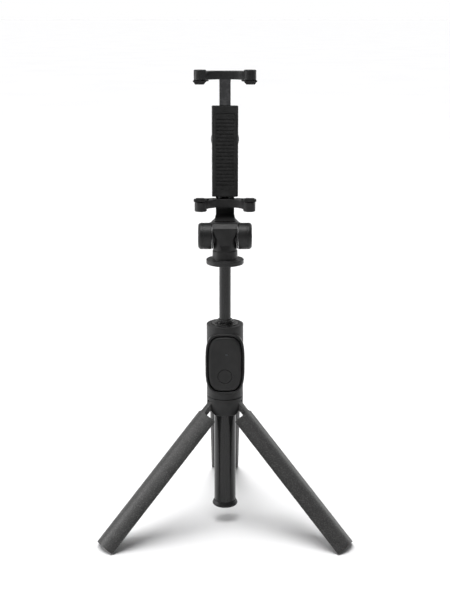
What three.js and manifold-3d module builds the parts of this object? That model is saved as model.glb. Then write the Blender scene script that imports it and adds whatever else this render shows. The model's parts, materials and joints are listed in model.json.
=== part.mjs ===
// Selfie stick that stands on its own three legs: a telescopic pole in a round handle, a
// swivel and tilt head with a sprung phone clamp, and a remote that lifts out of the handle.
// Millimetres, +Z up, the front towards -Y. At rest the legs are open, the innermost pole
// section is partly drawn, the head is upright and the clamp is open by the width of a phone.

import * as THREE from 'three';
import { mergeVertices } from 'three/addons/utils/BufferGeometryUtils.js';
import Module from 'manifold-3d';

const wasm = await Module();
wasm.setup();

// ---------------------------------------------------------------- driving dimensions

const DEGREE = Math.PI / 180;

// Handle, leg hub and folded legs share one round outline.
const BODY_R = 11.3;
const BODY_SIDES = 36;
const CORE_BORE_R = 7.05;
const HUB_BOTTOM = 74.2;
const HUB_RING_BOTTOM = 80.5;
const HUB_TOP = 84.8;
const HANDLE_BOTTOM = 85.1;
const HANDLE_TOP = 131.3;
const BEZEL_SEAT_R = 8.3;
const BEZEL_SEAT_Z = 129.8;

// Screws that hold the hub to the handle, from below.
const SCREW = { u: 9.2, radius: 0.85, headR: 1.5, headBottom: 74.9, headTop: 76.0, top: 89 };

// Outer column of the pole, fixed in the handle, and its end cap.
const COLUMN = { outer: 6.8, inner: 6.35, bottom: 13, top: 129.8, lipR: 6.08, lipHeight: 1.2 };

// Telescopic sections, outermost first. Each has a guide sleeve at its foot, whose top edge
// meets the lip of the tube around it at full reach.
const SECTIONS = [
  { outer: 6.0, inner: 5.55, bottom: 17, top: 131.9, lipR: 5.28, guideR: 6.28, guideTop: 47.3 },
  { outer: 5.2, inner: 4.75, bottom: 18.5, top: 133.0, lipR: 4.48, guideR: 5.48, guideTop: 49.4 },
  { outer: 4.4, inner: 3.95, bottom: 20, top: 134.2, lipR: 3.64, guideR: 4.68, guideTop: 50.5 },
  { outer: 3.56, inner: 3.1, bottom: 59.4, top: 171.5, lipR: 3.1, guideR: 3.88, guideTop: 89.6 },
];
const SECTION_LIP_HEIGHT = 1.2;
const GUIDE_GAP = 0.05;

// Legs: three curved shells that close into a tube around the column.
const LEG_AZIMUTHS = { rear: 90, left: 210, right: 330 };
const TAB_AZIMUTHS = { front: 270, right: 30, left: 150 };
const LEG_OPEN_DEG = 45;
const LEG_LENGTH = 109.2;
const LEG_INNER_R = 9.3;
const LEG_HALF_ANGLE = 59.2 * DEGREE;
const LEG_SHOULDER = 7.9;
const HINGE_U = 9.6;
const TONGUE_HALF = 2.0;
const EYE_R = 1.7;
const EYE_BORE_R = 0.95;
const HINGE_PIN_R = 0.8;
const HINGE_PIN_HALF = 3.5;
const FOOT = { chordU: 3.65, chordHalf: 5.5, cornerU: 4.75, cornerT: 7.6, radius: 9.1, length: 8 };
const FOOT_CHAMFER = 1.2;
const SHELL_LIFT = 0.3;
// An open leg's inner edge, chamfered at the leg's angle, is what stands on the floor.
const FOOT_REACH = LEG_LENGTH + HINGE_U - FOOT.chordU - FOOT_CHAMFER;
const HINGE_Z = FOOT_REACH * Math.sin(LEG_OPEN_DEG * DEGREE);

// Remote control in its pocket on the front of the handle.
const REMOTE_Z = 108.25;
const REMOTE_HALF_WIDTH = 10.4;
const REMOTE_HALF_HEIGHT = 17.45;
const REMOTE_EXPONENT = 3.5;
const REMOTE_FRONT = -12.1;
const REMOTE_SPLIT = -9.0;
const REMOTE_BACK = -7.85;
const REMOTE_EDGE = 2.0;
const POCKET_FLOOR = -7.6;
const POCKET_GAP = 0.45;
const RIM = { width: 1.2, front: -11.6, bevel: 0.8, fullTo: -8.4, back: -4.8 };
const BUTTON = { z: 100.6, radius: 4.3 };
const LIGHT = { x: 0.9, z: 114.4, radius: 0.5 };
const MAGNET = { x: 6.0, z: 97.5, radius: 1.25, front: -7.5, back: -5.95 };
const BATTERY = { z: 112.5, radius: 5.7 };

// Swivel and tilt head.
const FLANGE_R = 11.4;
const FLANGE_BOTTOM = 169.0;
const FLANGE_TOP = 171.9;
const POST_FOOT_R = 7.6;
const POST_FOOT_TOP = 176.8;
const POST = { radius: 7.1, flat: 6.3, flareFrom: 181, flareTo: 190, flareR: 9.4, top: 194.2 };
const POST_SHOULDER = 191.4;
const WASHER_R = 7.7;
const TILT_Z = 186;
const EAR_R = 8;
const EAR_IN = 8.1;
const EAR_OUT = 13.2;
const EAR_SEAT = 10.3;
const EAR_SEAT_R = 3.9;
const BOLT_R = 1.95;
const BOLT_BORE_R = 2.15;
const NECK_HALF = 5.65;
const ARM_FRONT = 18.9;
const ARM_BACK = 22.4;
const PIVOT_Z = 242;
const PIVOT_R = 5.0;

// Phone clamp.
const LOWER_GRIP = 207.2;
const UPPER_GRIP = 277.4;
const PAD_THICKNESS = 0.65;
const PAD_SEAT_GAP = 0.25;
const PRONG = { x: 14.7, y: 4.75, radius: 3.7, height: 6.0 };
const JAW_BAR_HEIGHT = 4.9;
const JAW_HOLLOW_R = 12.0;
const JAW_BACK = 17.9;
const SPINE = { half: 8, front: 13.6, back: 18.0, bottom: 207.6, top: 262.6 };
const CAVITY = { half: 6.9, front: 14.5, back: 17.1, bottom: 209.5, top: 259, mouthHalf: 3.7 };
const TONGUE = { half: 3.4, front: 15.0, back: 16.6, bottom: 232, top: 280.7, wingTop: 234.5 };
const SPRING = { x: 5.2, y: 15.8, radius: 1.1, bottom: 211, top: 231.8 };
const JAW_SCREW = { radius: 0.85, headR: 1.6, headBottom: 201.9, headTop: 203.1, top: 209.0 };
const JAW_SCREW_X = [-3, 3];

// ---------------------------------------------------------------- materials

function finish(color, roughness, metalness) {
  return new THREE.MeshStandardMaterial({ color, roughness, metalness });
}

const blackPlastic = () => finish(0x1c1c1d, 0.5, 0);
const remotePlastic = () => finish(0x222223, 0.42, 0);
const anodised = () => finish(0x19191a, 0.35, 0.6);
const coatedMetal = () => finish(0x202021, 0.55, 0.3);
const rubber = () => finish(0x0c0c0c, 0.85, 0);
const slidePlastic = () => finish(0x2b2b2c, 0.6, 0);
const steel = () => finish(0x9a9c9f, 0.35, 1);
const blackSteel = () => finish(0x2a2a2b, 0.4, 0.9);
const boardGreen = () => finish(0x12402a, 0.6, 0);
const lightPipe = () => finish(0x3a3d42, 0.3, 0);

// ---------------------------------------------------------------- outlines

// A closed outline from [x, y, cornerRadius] points, each rounded corner made of short chords.
function outline(corners, chords = 4) {
  const points = [];
  corners.forEach(([x, y, radius = 0], index) => {
    const [px, py] = corners[(index + corners.length - 1) % corners.length];
    const [nx, ny] = corners[(index + 1) % corners.length];
    const corner = new THREE.Vector2(x, y);
    if (radius === 0) {
      points.push(corner);
      return;
    }
    const before = new THREE.Vector2(px - x, py - y).normalize();
    const after = new THREE.Vector2(nx - x, ny - y).normalize();
    const half = Math.acos(before.dot(after)) / 2;
    const start = corner.clone().addScaledVector(before, radius / Math.tan(half));
    const middle = before.clone().add(after).normalize();
    const centre = corner.clone().addScaledVector(middle, radius / Math.sin(half));
    const end = corner.clone().addScaledVector(after, radius / Math.tan(half));
    const from = start.sub(centre).angle();
    let sweep = end.sub(centre).angle() - from;
    sweep -= 2 * Math.PI * Math.round(sweep / (2 * Math.PI));
    points.push(...arc(centre.x, centre.y, radius, from, from + sweep, chords));
  });
  return new THREE.Shape(points);
}

function arc(x, y, radius, from, to, chords) {
  return Array.from({ length: chords + 1 }, (_, step) => {
    const angle = from + ((to - from) * step) / chords;
    return new THREE.Vector2(x + radius * Math.cos(angle), y + radius * Math.sin(angle));
  });
}

function disc(radius, x = 0, y = 0, sides = 20) {
  return new THREE.Shape(arc(x, y, radius, 0, 2 * Math.PI, sides).slice(0, -1));
}

function rectangle(x0, x1, y0, y1, radius = 0, chords = 4) {
  return outline([[x0, y0, radius], [x1, y0, radius], [x1, y1, radius], [x0, y1, radius]], chords);
}


const mirrored = (corners) => corners.map(([x, y, radius]) => [-x, y, radius]).reverse();

// ---------------------------------------------------------------- solids

const X = new THREE.Vector3(1, 0, 0);
const Y = new THREE.Vector3(0, 1, 0);
const Z = new THREE.Vector3(0, 0, 1);
const FACING = {
  x: new THREE.Matrix4().makeBasis(Y, Z, X),
  y: new THREE.Matrix4().makeBasis(X, Z, Y.clone().negate()),
  z: new THREE.Matrix4(),
};

// Extrudes an outline along x, y or z. Its points are (y, z), (x, z) or (x, y) in turn, and
// both of its ends are rounded by the edge size where one is given.
function slab(direction, shape, from, to, edge = 0, edgeSteps = 2) {
  const geometry = new THREE.ExtrudeGeometry(shape, {
    depth: to - from - 2 * edge,
    bevelEnabled: edge > 0,
    bevelThickness: edge,
    bevelSize: edge,
    bevelOffset: -edge,
    bevelSegments: edgeSteps,
    curveSegments: 1,
  });
  geometry.translate(0, 0, edge);
  geometry.applyMatrix4(FACING[direction]);
  const shift = { x: [from, 0, 0], y: [0, to, 0], z: [0, 0, from] }[direction];
  return geometry.translate(...shift);
}

function block(x0, x1, y0, y1, z0, z1) {
  return slab('z', rectangle(x0, x1, y0, y1), z0, z1);
}

// Turns an [r, z] profile about Z.
function turned(profile, sides = 24) {
  const points = profile.map(([r, z]) => new THREE.Vector2(r, z));
  return new THREE.LatheGeometry(points, sides).rotateX(Math.PI / 2);
}

// A turned profile that doesn't reach the axis: it closes on its first point.
function turnedRing(profile, sides = 24) {
  return turned([...profile, profile[0]], sides);
}

function pipe(outer, inner, bottom, top) {
  return turnedRing([[inner, bottom], [outer, bottom], [outer, top], [inner, top]]);
}

const spun = (geometry, degrees) => geometry.rotateZ(degrees * DEGREE);

function solidOf(geometry) {
  const bare = geometry.clone();
  bare.deleteAttribute('normal');
  bare.deleteAttribute('uv');
  const merged = mergeVertices(bare, 1e-4);
  const vertProperties = new Float32Array(merged.attributes.position.array);
  const corner = (index) => new THREE.Vector3().fromArray(vertProperties, 3 * index);
  const triangles = [];
  let volume = 0;
  const source = merged.index.array;
  for (let i = 0; i < source.length; i += 3) {
    const [a, b, c] = source.slice(i, i + 3);
    if (a !== b && b !== c && c !== a) {
      triangles.push([a, b, c]);
      volume += corner(a).cross(corner(b)).dot(corner(c));
    }
  }
  const facing = volume < 0 ? triangles.map(([a, b, c]) => [a, c, b]) : triangles;
  const triVerts = new Uint32Array(facing.flat());
  return new wasm.Manifold(new wasm.Mesh({ numProp: 3, vertProperties, triVerts }));
}

function geometryOf(solid) {
  const { vertProperties, triVerts } = solid.getMesh();
  const geometry = new THREE.BufferGeometry();
  geometry.setAttribute('position', new THREE.BufferAttribute(vertProperties, 3));
  geometry.setIndex(new THREE.BufferAttribute(triVerts, 1));
  geometry.computeVertexNormals();
  return geometry;
}

function join(...geometries) {
  return geometryOf(geometries.map(solidOf).reduce((whole, next) => whole.add(next)));
}

function cut(body, ...tools) {
  return geometryOf(tools.map(solidOf).reduce((rest, tool) => rest.subtract(tool), solidOf(body)));
}

function common(first, second) {
  return geometryOf(solidOf(first).intersect(solidOf(second)));
}

function piece(name, geometry, material) {
  const mesh = new THREE.Mesh(geometry, material);
  mesh.name = name;
  return mesh;
}

// ---------------------------------------------------------------- handle and hub

// The remote seen from the front, drawn smaller by an inset or larger by a negative one. It is a
// superellipse: its sides are straighter, and its corners fuller, than an ellipse's.
function remoteOutline(inset, steps = 44) {
  const halfWidth = REMOTE_HALF_WIDTH - inset;
  const halfHeight = REMOTE_HALF_HEIGHT - inset;
  const swell = (value) => Math.sign(value) * Math.abs(value) ** (2 / REMOTE_EXPONENT);
  const points = [];
  for (let step = 0; step < steps; step += 1) {
    const angle = (2 * Math.PI * (step + 0.5)) / steps;
    points.push(new THREE.Vector2(
      halfWidth * swell(Math.cos(angle)), REMOTE_Z + halfHeight * swell(Math.sin(angle))));
  }
  return new THREE.Shape(points);
}

// The raised frame around the remote's pocket: bevelled in front, and tapered back into the
// round handle behind.
function pocketRim() {
  const shape = () => remoteOutline(-POCKET_GAP - RIM.width);
  const taper = RIM.back - RIM.fullTo;
  const front = slab('y', shape(), RIM.front, RIM.back, RIM.bevel);
  const frontHalf = common(front, block(-20, 20, RIM.front - 1, RIM.fullTo, 80, 140));
  const back = slab('y', shape(), RIM.fullTo - taper, RIM.back, taper / 2, 1);
  const backHalf = common(back, block(-20, 20, RIM.fullTo - 0.2, RIM.back + 1, 80, 140));
  return join(frontHalf, backHalf);
}

function handleShell() {
  const shell = turnedRing([
    [CORE_BORE_R, HANDLE_BOTTOM], [BODY_R - 0.2, HANDLE_BOTTOM], [BODY_R, HANDLE_BOTTOM + 0.2],
    [BODY_R, HANDLE_TOP - 0.35], [BODY_R - 0.35, HANDLE_TOP],
    [BEZEL_SEAT_R, HANDLE_TOP], [BEZEL_SEAT_R, BEZEL_SEAT_Z], [CORE_BORE_R, BEZEL_SEAT_Z],
  ], BODY_SIDES);
  const inside = slab('z', disc(CORE_BORE_R + 0.3, 0, 0, 36), HANDLE_BOTTOM - 1, HANDLE_TOP + 1);
  const pocket = slab('y', remoteOutline(-POCKET_GAP), -20, POCKET_FLOOR);
  const magnetSeats = [-1, 1].map((side) => slab('y',
    disc(MAGNET.radius + 0.15, side * MAGNET.x, MAGNET.z, 16), POCKET_FLOOR - 1, MAGNET.back + 0.15));
  const screwPilots = Object.values(TAB_AZIMUTHS).map((azimuth) => spun(
    slab('z', disc(0.95, SCREW.u, 0, 12), HANDLE_BOTTOM - 1, SCREW.top + 0.5), azimuth));
  return cut(join(shell, cut(pocketRim(), inside)), pocket, ...magnetSeats, ...screwPilots);
}

function handleBezel() {
  return turnedRing([[6.2, 130.1], [8.1, 130.1], [8.1, 131.5], [7.9, 131.7], [6.4, 131.7], [6.2, 131.5]]);
}

// A closed ring at the top, cut below into three tabs with a clevis slot between each pair.
function legHub() {
  const ring = turnedRing([
    [CORE_BORE_R, HUB_BOTTOM], [BODY_R, HUB_BOTTOM], [BODY_R, HUB_TOP - 0.2],
    [BODY_R - 0.2, HUB_TOP], [CORE_BORE_R, HUB_TOP],
  ], BODY_SIDES);
  const upper = slab('z', disc(BODY_R + 2, 0, 0, 16), HUB_RING_BOTTOM, HUB_TOP + 1);
  const tabOutline = () => outline([[-9.2, HUB_BOTTOM, 5], [9.2, HUB_BOTTOM, 5],
    [9.2, HUB_RING_BOTTOM + 1], [-9.2, HUB_RING_BOTTOM + 1]], 6);
  const tabs = Object.values(TAB_AZIMUTHS).map((azimuth) => spun(
    slab('x', tabOutline(), 3, BODY_R + 1), azimuth));
  const slots = Object.values(LEG_AZIMUTHS).map((azimuth) => spun(
    block(7.4, BODY_R + 2, -TONGUE_HALF - 0.35, TONGUE_HALF + 0.35, 60, HINGE_Z + EYE_R + 0.4), azimuth));
  const pinBores = Object.values(LEG_AZIMUTHS).map((azimuth) => spun(
    slab('y', disc(HINGE_PIN_R + 0.1, HINGE_U, HINGE_Z, 16), -HINGE_PIN_HALF - 0.2,
      HINGE_PIN_HALF + 0.2), azimuth));
  const screwBores = Object.values(TAB_AZIMUTHS).flatMap((azimuth) => [
    spun(slab('z', disc(SCREW.radius + 0.15, SCREW.u, 0, 12), 60, HUB_TOP + 1), azimuth),
    spun(slab('z', disc(SCREW.headR + 0.15, SCREW.u, 0, 16), 60, SCREW.headTop + 0.2), azimuth),
  ]);
  return cut(common(ring, join(upper, ...tabs)), ...slots, ...pinBores, ...screwBores);
}

function hubScrew() {
  return turned([
    [0, SCREW.headBottom], [SCREW.headR, SCREW.headBottom], [SCREW.headR, SCREW.headTop],
    [SCREW.radius, SCREW.headTop], [SCREW.radius, SCREW.top - 0.6], [0, SCREW.top],
  ], 12).translate(SCREW.u, 0, 0);
}

function hingePin() {
  const half = HINGE_PIN_HALF;
  return turned([[0, -half], [HINGE_PIN_R, -half], [HINGE_PIN_R, half], [0, half]], 16)
    .rotateX(Math.PI / 2);
}

// ---------------------------------------------------------------- pole

function columnTube() {
  const { outer, inner, bottom, top, lipR, lipHeight } = COLUMN;
  return turnedRing([[inner, bottom], [outer, bottom], [outer, top], [lipR, top],
    [lipR, top - lipHeight], [inner, top - lipHeight]]);
}

function columnCap() {
  return turned([[0, 10.9], [6.4, 10.9], [7.5, 11.2], [8.0, 12.2], [7.85, 13.2], [7.0, 14.3],
    [6.95, 14.3], [6.95, 12.7], [6.2, 12.7], [6.2, 16], [0, 16]]);
}

function poleSection({ outer, inner, bottom, top, lipR }) {
  if (lipR === inner) return pipe(outer, inner, bottom, top);
  return turnedRing([[inner, bottom], [outer, bottom], [outer, top - 0.2], [outer - 0.2, top],
    [lipR, top], [lipR, top - SECTION_LIP_HEIGHT], [inner, top - SECTION_LIP_HEIGHT]]);
}

function sectionGuide({ outer, bottom, guideR, guideTop }) {
  return pipe(guideR, outer + GUIDE_GAP, bottom, guideTop);
}

// Pressed into the innermost section: the head turns on its neck and is kept on by its button.
function swivelStud() {
  return turned([[0, 164], [2.95, 164], [2.95, 171.6], [3.3, 171.6], [3.3, 172.4], [1.6, 172.4],
    [1.6, 176], [2.6, 176], [2.6, 177.5], [0, 177.5]], 16);
}

// ---------------------------------------------------------------- legs

// A stretch of the round shell, drawn folded, with the hinge axis at the origin along Y.
function shellSector(innerR, bottom, top) {
  const chords = 14;
  const shape = new THREE.Shape([
    ...arc(-HINGE_U, 0, BODY_R, -LEG_HALF_ANGLE, LEG_HALF_ANGLE, chords),
    ...arc(-HINGE_U, 0, innerR, LEG_HALF_ANGLE, -LEG_HALF_ANGLE, chords),
  ]);
  return slab('z', shape, bottom, top);
}

// What is cut away on each side of the tongue: a concave corner, then the rounded shoulder.
function shoulderCutter() {
  const fillet = 2;
  const reach = BODY_R * Math.sin(LEG_HALF_ANGLE);
  const round = 1.5;
  const side = [
    new THREE.Vector2(TONGUE_HALF, 4),
    ...arc(TONGUE_HALF + fillet, -LEG_SHOULDER + fillet, fillet, Math.PI, 1.5 * Math.PI, 5),
    ...arc(reach - round, -LEG_SHOULDER - round, round, Math.PI / 2, 0, 5),
    new THREE.Vector2(reach + 2, -LEG_SHOULDER - round),
    new THREE.Vector2(reach + 2, 4),
  ];
  const other = side.map(({ x, y }) => new THREE.Vector2(-x, y)).reverse();
  return join(...[side, other].map((points) => slab('x', new THREE.Shape(points), -12, 4)));
}

// Removes what lies below the slanted plane that passes the given distance under the hinge.
function underFloor(reach) {
  return slab('y', new THREE.Shape([
    new THREE.Vector2(-20, 20 - reach), new THREE.Vector2(-20, -reach - 20),
    new THREE.Vector2(20, -reach - 20),
  ]), -15, 15);
}

function legShell() {
  const shell = cut(shellSector(LEG_INNER_R, -LEG_LENGTH, EYE_R + 1), shoulderCutter());
  const below = cut(shell, block(-12, 4, -12, 12, -LEG_SHOULDER + 4, 8));
  const tongueSide = new THREE.Shape([
    new THREE.Vector2(3, -12), new THREE.Vector2(3, 0),
    ...arc(0, 0, EYE_R, 0, Math.PI, 12),
    new THREE.Vector2(-1.3, -8), new THREE.Vector2(-0.2, -12),
  ]);
  const thick = shellSector(BODY_R - 3.6, -13, EYE_R + 1);
  const tongue = common(thick, slab('y', tongueSide, -TONGUE_HALF, TONGUE_HALF));
  const eye = slab('y', disc(EYE_BORE_R, 0, 0, 16), -4, 4);
  return cut(join(below, tongue), eye, underFloor(FOOT_REACH - SHELL_LIFT / Math.sin(Math.PI / 4)));
}

// Rubber plug inside the shell's lower end.
function footPad() {
  const corner = Math.atan2(FOOT.cornerT, FOOT.cornerU);
  const x = FOOT.chordU - HINGE_U;
  const shape = new THREE.Shape([
    new THREE.Vector2(x, FOOT.chordHalf), new THREE.Vector2(x, -FOOT.chordHalf),
    ...arc(-HINGE_U, 0, FOOT.radius, -corner, corner, 10),
  ]);
  const plug = slab('z', shape, -LEG_LENGTH, -LEG_LENGTH + FOOT.length);
  return cut(plug, underFloor(FOOT_REACH));
}

function leg(side, azimuth) {
  const hinge = new THREE.Group();
  hinge.position.set(HINGE_U, 0, HINGE_Z);
  hinge.rotation.y = -LEG_OPEN_DEG * DEGREE;
  hinge.add(piece(`leg_shell_${side}`, legShell(), coatedMetal()));
  hinge.add(piece(`foot_pad_${side}`, footPad(), rubber()));
  const pin = piece(`hinge_pin_${side}`, hingePin(), steel());
  pin.position.set(HINGE_U, 0, HINGE_Z);
  const placed = new THREE.Group();
  placed.rotation.z = azimuth * DEGREE;
  placed.add(hinge, pin);
  return placed;
}

// ---------------------------------------------------------------- head

// Flange and round post. The post flares towards its top, where it is flat on all four sides:
// front and back all the way up, and left and right where the ears bear on it.
function poleHead() {
  const round = turned([
    [0, FLANGE_BOTTOM], [FLANGE_R - 0.6, FLANGE_BOTTOM], [FLANGE_R, FLANGE_BOTTOM + 0.6],
    [FLANGE_R, FLANGE_TOP - 0.4], [FLANGE_R - 0.3, FLANGE_TOP], [POST_FOOT_R, FLANGE_TOP],
    [POST_FOOT_R, POST_FOOT_TOP], [POST.radius, POST_FOOT_TOP + 1],
    [POST.radius, POST.flareFrom], [POST.flareR, POST.flareTo],
    [POST.flareR, POST.top], [0, POST.top],
  ], 36);
  const side = slab('x', outline([
    [-13, 168], [13, 168], [13, POST_FOOT_TOP], [7.7, POST_FOOT_TOP],
    [POST.flat, POST.flareFrom], [POST.flat, POST_SHOULDER, 0.6],
    [2.5, POST.top, 2.5], [-2.5, POST.top, 2.5], [-POST.flat, POST_SHOULDER, 0.6],
    [-POST.flat, POST.flareFrom], [-7.7, POST_FOOT_TOP], [-13, POST_FOOT_TOP],
  ]), -14, 14);
  const front = slab('y', outline([
    [-13, 168], [13, 168], [13, POST_FOOT_TOP + 1], [POST.radius, POST_FOOT_TOP + 1],
    [POST.radius, POST.top + 1], [-POST.radius, POST.top + 1], [-POST.radius, POST_FOOT_TOP + 1],
    [-13, POST_FOOT_TOP + 1],
  ]), -14, 14);
  const bosses = slab('x', disc(5.2, 0, TILT_Z), -POST.radius, POST.radius);
  const tiltBore = slab('x', disc(BOLT_BORE_R, 0, TILT_Z), -12, 12);
  const swivelSeat = turned([
    [0, FLANGE_BOTTOM - 1], [5.6, FLANGE_BOTTOM - 1], [5.6, 172.9], [1.85, 172.9],
    [1.85, 175.7], [2.85, 175.7], [2.85, 177.9], [0, 177.9],
  ], 16);
  return cut(join(common(common(round, side), front), bosses), tiltBore, swivelSeat);
}

const onTiltAxis = (direction, shape, from, to) => slab(direction, shape, from, to)
  .translate(0, 0, TILT_Z);

// Two ears on the tilt bolt, joined over and behind the post to the arm that holds the clamp.
function tiltYoke() {
  const half = [[NECK_HALF, 72], [NECK_HALF, 10], [5.85, 8.7], [6.4, 7.5], [7.4, 6.5],
    [8.8, 5.7], [11.5, 5.2], [11.5, -9]];
  const frontShape = outline([...mirrored(half), ...half]);
  const front = onTiltAxis('y', frontShape, -1, ARM_BACK + 1);
  const armTop = PIVOT_Z - TILT_Z;
  const sideShape = outline([
    [0, 0], [7.5, 2.7], [16, 6.2, 2], [20.5, 9, 2], [ARM_BACK, 15, 4], [ARM_BACK, armTop],
    [ARM_FRONT, armTop], [ARM_FRONT, 13.4, 2], [17, 10.6], [14, 8.8], [10, 7.6], [0, 7.6],
  ]);
  const fork = common(front, onTiltAxis('x', sideShape, -12, 12));
  const knuckleRoom = onTiltAxis('x', disc(9.9, 0, 0, 32), -EAR_IN, EAR_IN);
  const postRoom = block(-EAR_IN, EAR_IN, -12, 8.1, TILT_Z - 12, POST.top + 12);
  const web = cut(fork, knuckleRoom, postRoom);
  const ears = [-1, 1].map((end) => onTiltAxis('x', disc(EAR_R, 0, 0, 28),
    Math.min(end * EAR_IN, end * EAR_OUT), Math.max(end * EAR_IN, end * EAR_OUT)));
  const seats = [-1, 1].map((end) => onTiltAxis('x', disc(EAR_SEAT_R),
    Math.min(end * EAR_SEAT, end * 15), Math.max(end * EAR_SEAT, end * 15)));
  const bore = onTiltAxis('x', disc(BOLT_BORE_R), -15, 15);
  const eye = slab('y', disc(8.5, 0, PIVOT_Z, 28), ARM_FRONT, ARM_BACK);
  const pivotBore = slab('y', disc(PIVOT_R + 0.25, 0, PIVOT_Z, 32), ARM_FRONT - 1, ARM_BACK + 1);
  return cut(join(web, ...ears, eye), bore, ...seats, pivotBore);
}

function tiltBolt() {
  const head = onTiltAxis('x', disc(3.5), -12.1, -EAR_SEAT - 0.15);
  const shank = onTiltAxis('x', disc(BOLT_R), -EAR_SEAT - 1, 11.8);
  const driveSocket = onTiltAxis('x', disc(1.3, 0, 0, 6), -13, -11.2);
  return cut(join(head, shank), driveSocket);
}

function tiltNut() {
  return cut(onTiltAxis('x', disc(3.6, 0, 0, 6), EAR_SEAT + 0.15, 12.0),
    onTiltAxis('x', disc(BOLT_R + 0.12), 9, 13));
}

function tiltWasher(end) {
  const from = Math.min(end * 7.2, end * 7.9);
  return cut(onTiltAxis('x', disc(WASHER_R, 0, 0, 28), from, from + 0.7),
    onTiltAxis('x', disc(BOLT_BORE_R), from - 1, from + 2));
}

// A cap over the end of the tilt barrel, with a round edge and a plug that fits the bolt seat.
function earCap(end) {
  const cap = turned([[0, -1.1], [3.6, -1.1], [3.6, 0], [EAR_R, 0], [EAR_R, 0.9], [7.7, 1.75],
    [7.05, 2.4], [5.9, 2.75], [0, 2.9]], 28);
  return cap.rotateY(end * Math.PI / 2).translate(end * (EAR_OUT + 0.25), 0, TILT_Z);
}

// ---------------------------------------------------------------- clamp

// A cross bar, hollowed to fit round the handle when folded, with an upright prong at each
// end. It lies on the given side of its grip face: -1 below it, +1 above it.
function jaw(grip, side) {
  const inner = Math.atan2(PRONG.y, PRONG.x - PRONG.radius);
  const shape = new THREE.Shape([
    ...arc(PRONG.x, PRONG.y, PRONG.radius, Math.PI, 2 * Math.PI, 12),
    new THREE.Vector2(PRONG.x + PRONG.radius, 8.6),
    new THREE.Vector2(17.9, 10.2),
    new THREE.Vector2(10.4, 17.2),
    new THREE.Vector2(8.6, JAW_BACK),
    new THREE.Vector2(-8.6, JAW_BACK),
    new THREE.Vector2(-10.4, 17.2),
    new THREE.Vector2(-17.9, 10.2),
    new THREE.Vector2(-PRONG.x - PRONG.radius, 8.6),
    ...arc(-PRONG.x, PRONG.y, PRONG.radius, Math.PI, 2 * Math.PI, 12),
    ...arc(0, 0, JAW_HOLLOW_R, Math.PI - inner, inner, 16).slice(1, -1),
  ]);
  const face = grip + side * (PAD_THICKNESS + PAD_SEAT_GAP);
  const span = (height) => [face, face + side * height].sort((a, b) => a - b);
  const bar = slab('z', shape, ...span(JAW_BAR_HEIGHT));
  const prongs = [-1, 1].map((end) => slab('z', disc(PRONG.radius, end * PRONG.x, PRONG.y, 24),
    ...span(PRONG.height)));
  return join(bar, ...prongs);
}

// Rubber facing on one end of a jaw, with a lip that hooks over the phone's front edge.
function jawPad(grip, side, end) {
  const sheet = outline([[11.4, 0.8, 0.8], [18.9, 0.8, 1.6], [18.9, 8.8, 1], [16.4, 11.1],
    [9.6, 11.1], [10.9, 6.6]]);
  const lip = outline([[11.0, 0], [18.9, 0], [18.9, -1.8, 0.5], [12.6, -1.8, 0.5], [11.0, -0.6]]);
  const facing = slab('z', sheet, 0, PAD_THICKNESS);
  const hook = common(slab('y', lip, 0.8, 3.8).translate(0, 0, 0.3),
    slab('z', sheetWithLip(), -3, 1));
  const right = join(facing, hook);
  const placed = right.clone().scale(end, 1, side).translate(0, 0, grip);
  return solidGeometry(placed);
}

function sheetWithLip() {
  return outline([[10.9, 0.8, 0.8], [18.9, 0.8, 1.6], [18.9, 6], [10.9, 6]]);
}

const solidGeometry = (geometry) => geometryOf(solidOf(geometry));

function lowerJaw() {
  const screwBores = JAW_SCREW_X.flatMap((x) => [
    slab('z', disc(1.0, x, SPRING.y, 12), 195, LOWER_GRIP + 1),
    slab('z', disc(1.75, x, SPRING.y, 16), 195, JAW_SCREW.headTop + 0.2),
  ]);
  return cut(jaw(LOWER_GRIP, -1), ...screwBores);
}

function jawScrew() {
  const { radius, headR, headBottom, headTop, top } = JAW_SCREW;
  return turned([[0, headBottom], [headR, headBottom], [headR, headTop], [radius, headTop],
    [radius, top - 0.5], [0, top]], 12);
}

// A flat box with a round turret behind, on which the clamp turns. The upper jaw's tongue
// runs inside it, between two springs.
function clampSpine() {
  const { half, front, back, bottom, top } = SPINE;
  const body = slab('z', rectangle(-half, half, front, back, 1.2), bottom, top);
  const cavity = block(-CAVITY.half, CAVITY.half, CAVITY.front, CAVITY.back, CAVITY.bottom, CAVITY.top);
  const mouth = block(-CAVITY.mouthHalf, CAVITY.mouthHalf, CAVITY.front, CAVITY.back,
    CAVITY.top - 1, top + 1);
  const turret = slab('y', disc(PIVOT_R, 0, PIVOT_Z, 32), back - 0.4, ARM_BACK - 0.05);
  const pilot = slab('y', disc(1.3, 0, PIVOT_Z, 12), back + 0.4, ARM_BACK + 1);
  const screwBores = JAW_SCREW_X.map((x) => slab('z', disc(1.0, x, SPRING.y, 12), bottom - 1,
    JAW_SCREW.top + 0.2));
  return cut(join(body, turret), cavity, mouth, pilot, ...screwBores);
}

function spinePad() {
  return slab('y', rectangle(-6.5, 6.5, 212, 258, 2), 12.6, 13.35);
}

function pivotCap() {
  return turnedRing([[1.4, 0.2], [7.4, 0.2], [7.4, 1.0], [6.8, 1.5], [2.5, 1.5], [2.5, 0.8],
    [1.4, 0.8]]).rotateX(-Math.PI / 2).translate(0, ARM_BACK, PIVOT_Z);
}

function pivotScrew() {
  return turned([[0, -2.6], [1.1, -2.0], [1.1, 0.95], [2.25, 0.95], [2.25, 1.7], [0, 1.9]], 16)
    .rotateX(-Math.PI / 2).translate(0, ARM_BACK, PIVOT_Z);
}

function upperJaw() {
  const gap = 0.2;
  const slot = block(-TONGUE.half - gap, TONGUE.half + gap, TONGUE.front - gap, TONGUE.back + gap,
    UPPER_GRIP - 1, TONGUE.top + gap);
  return cut(jaw(UPPER_GRIP, 1), slot);
}

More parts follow.
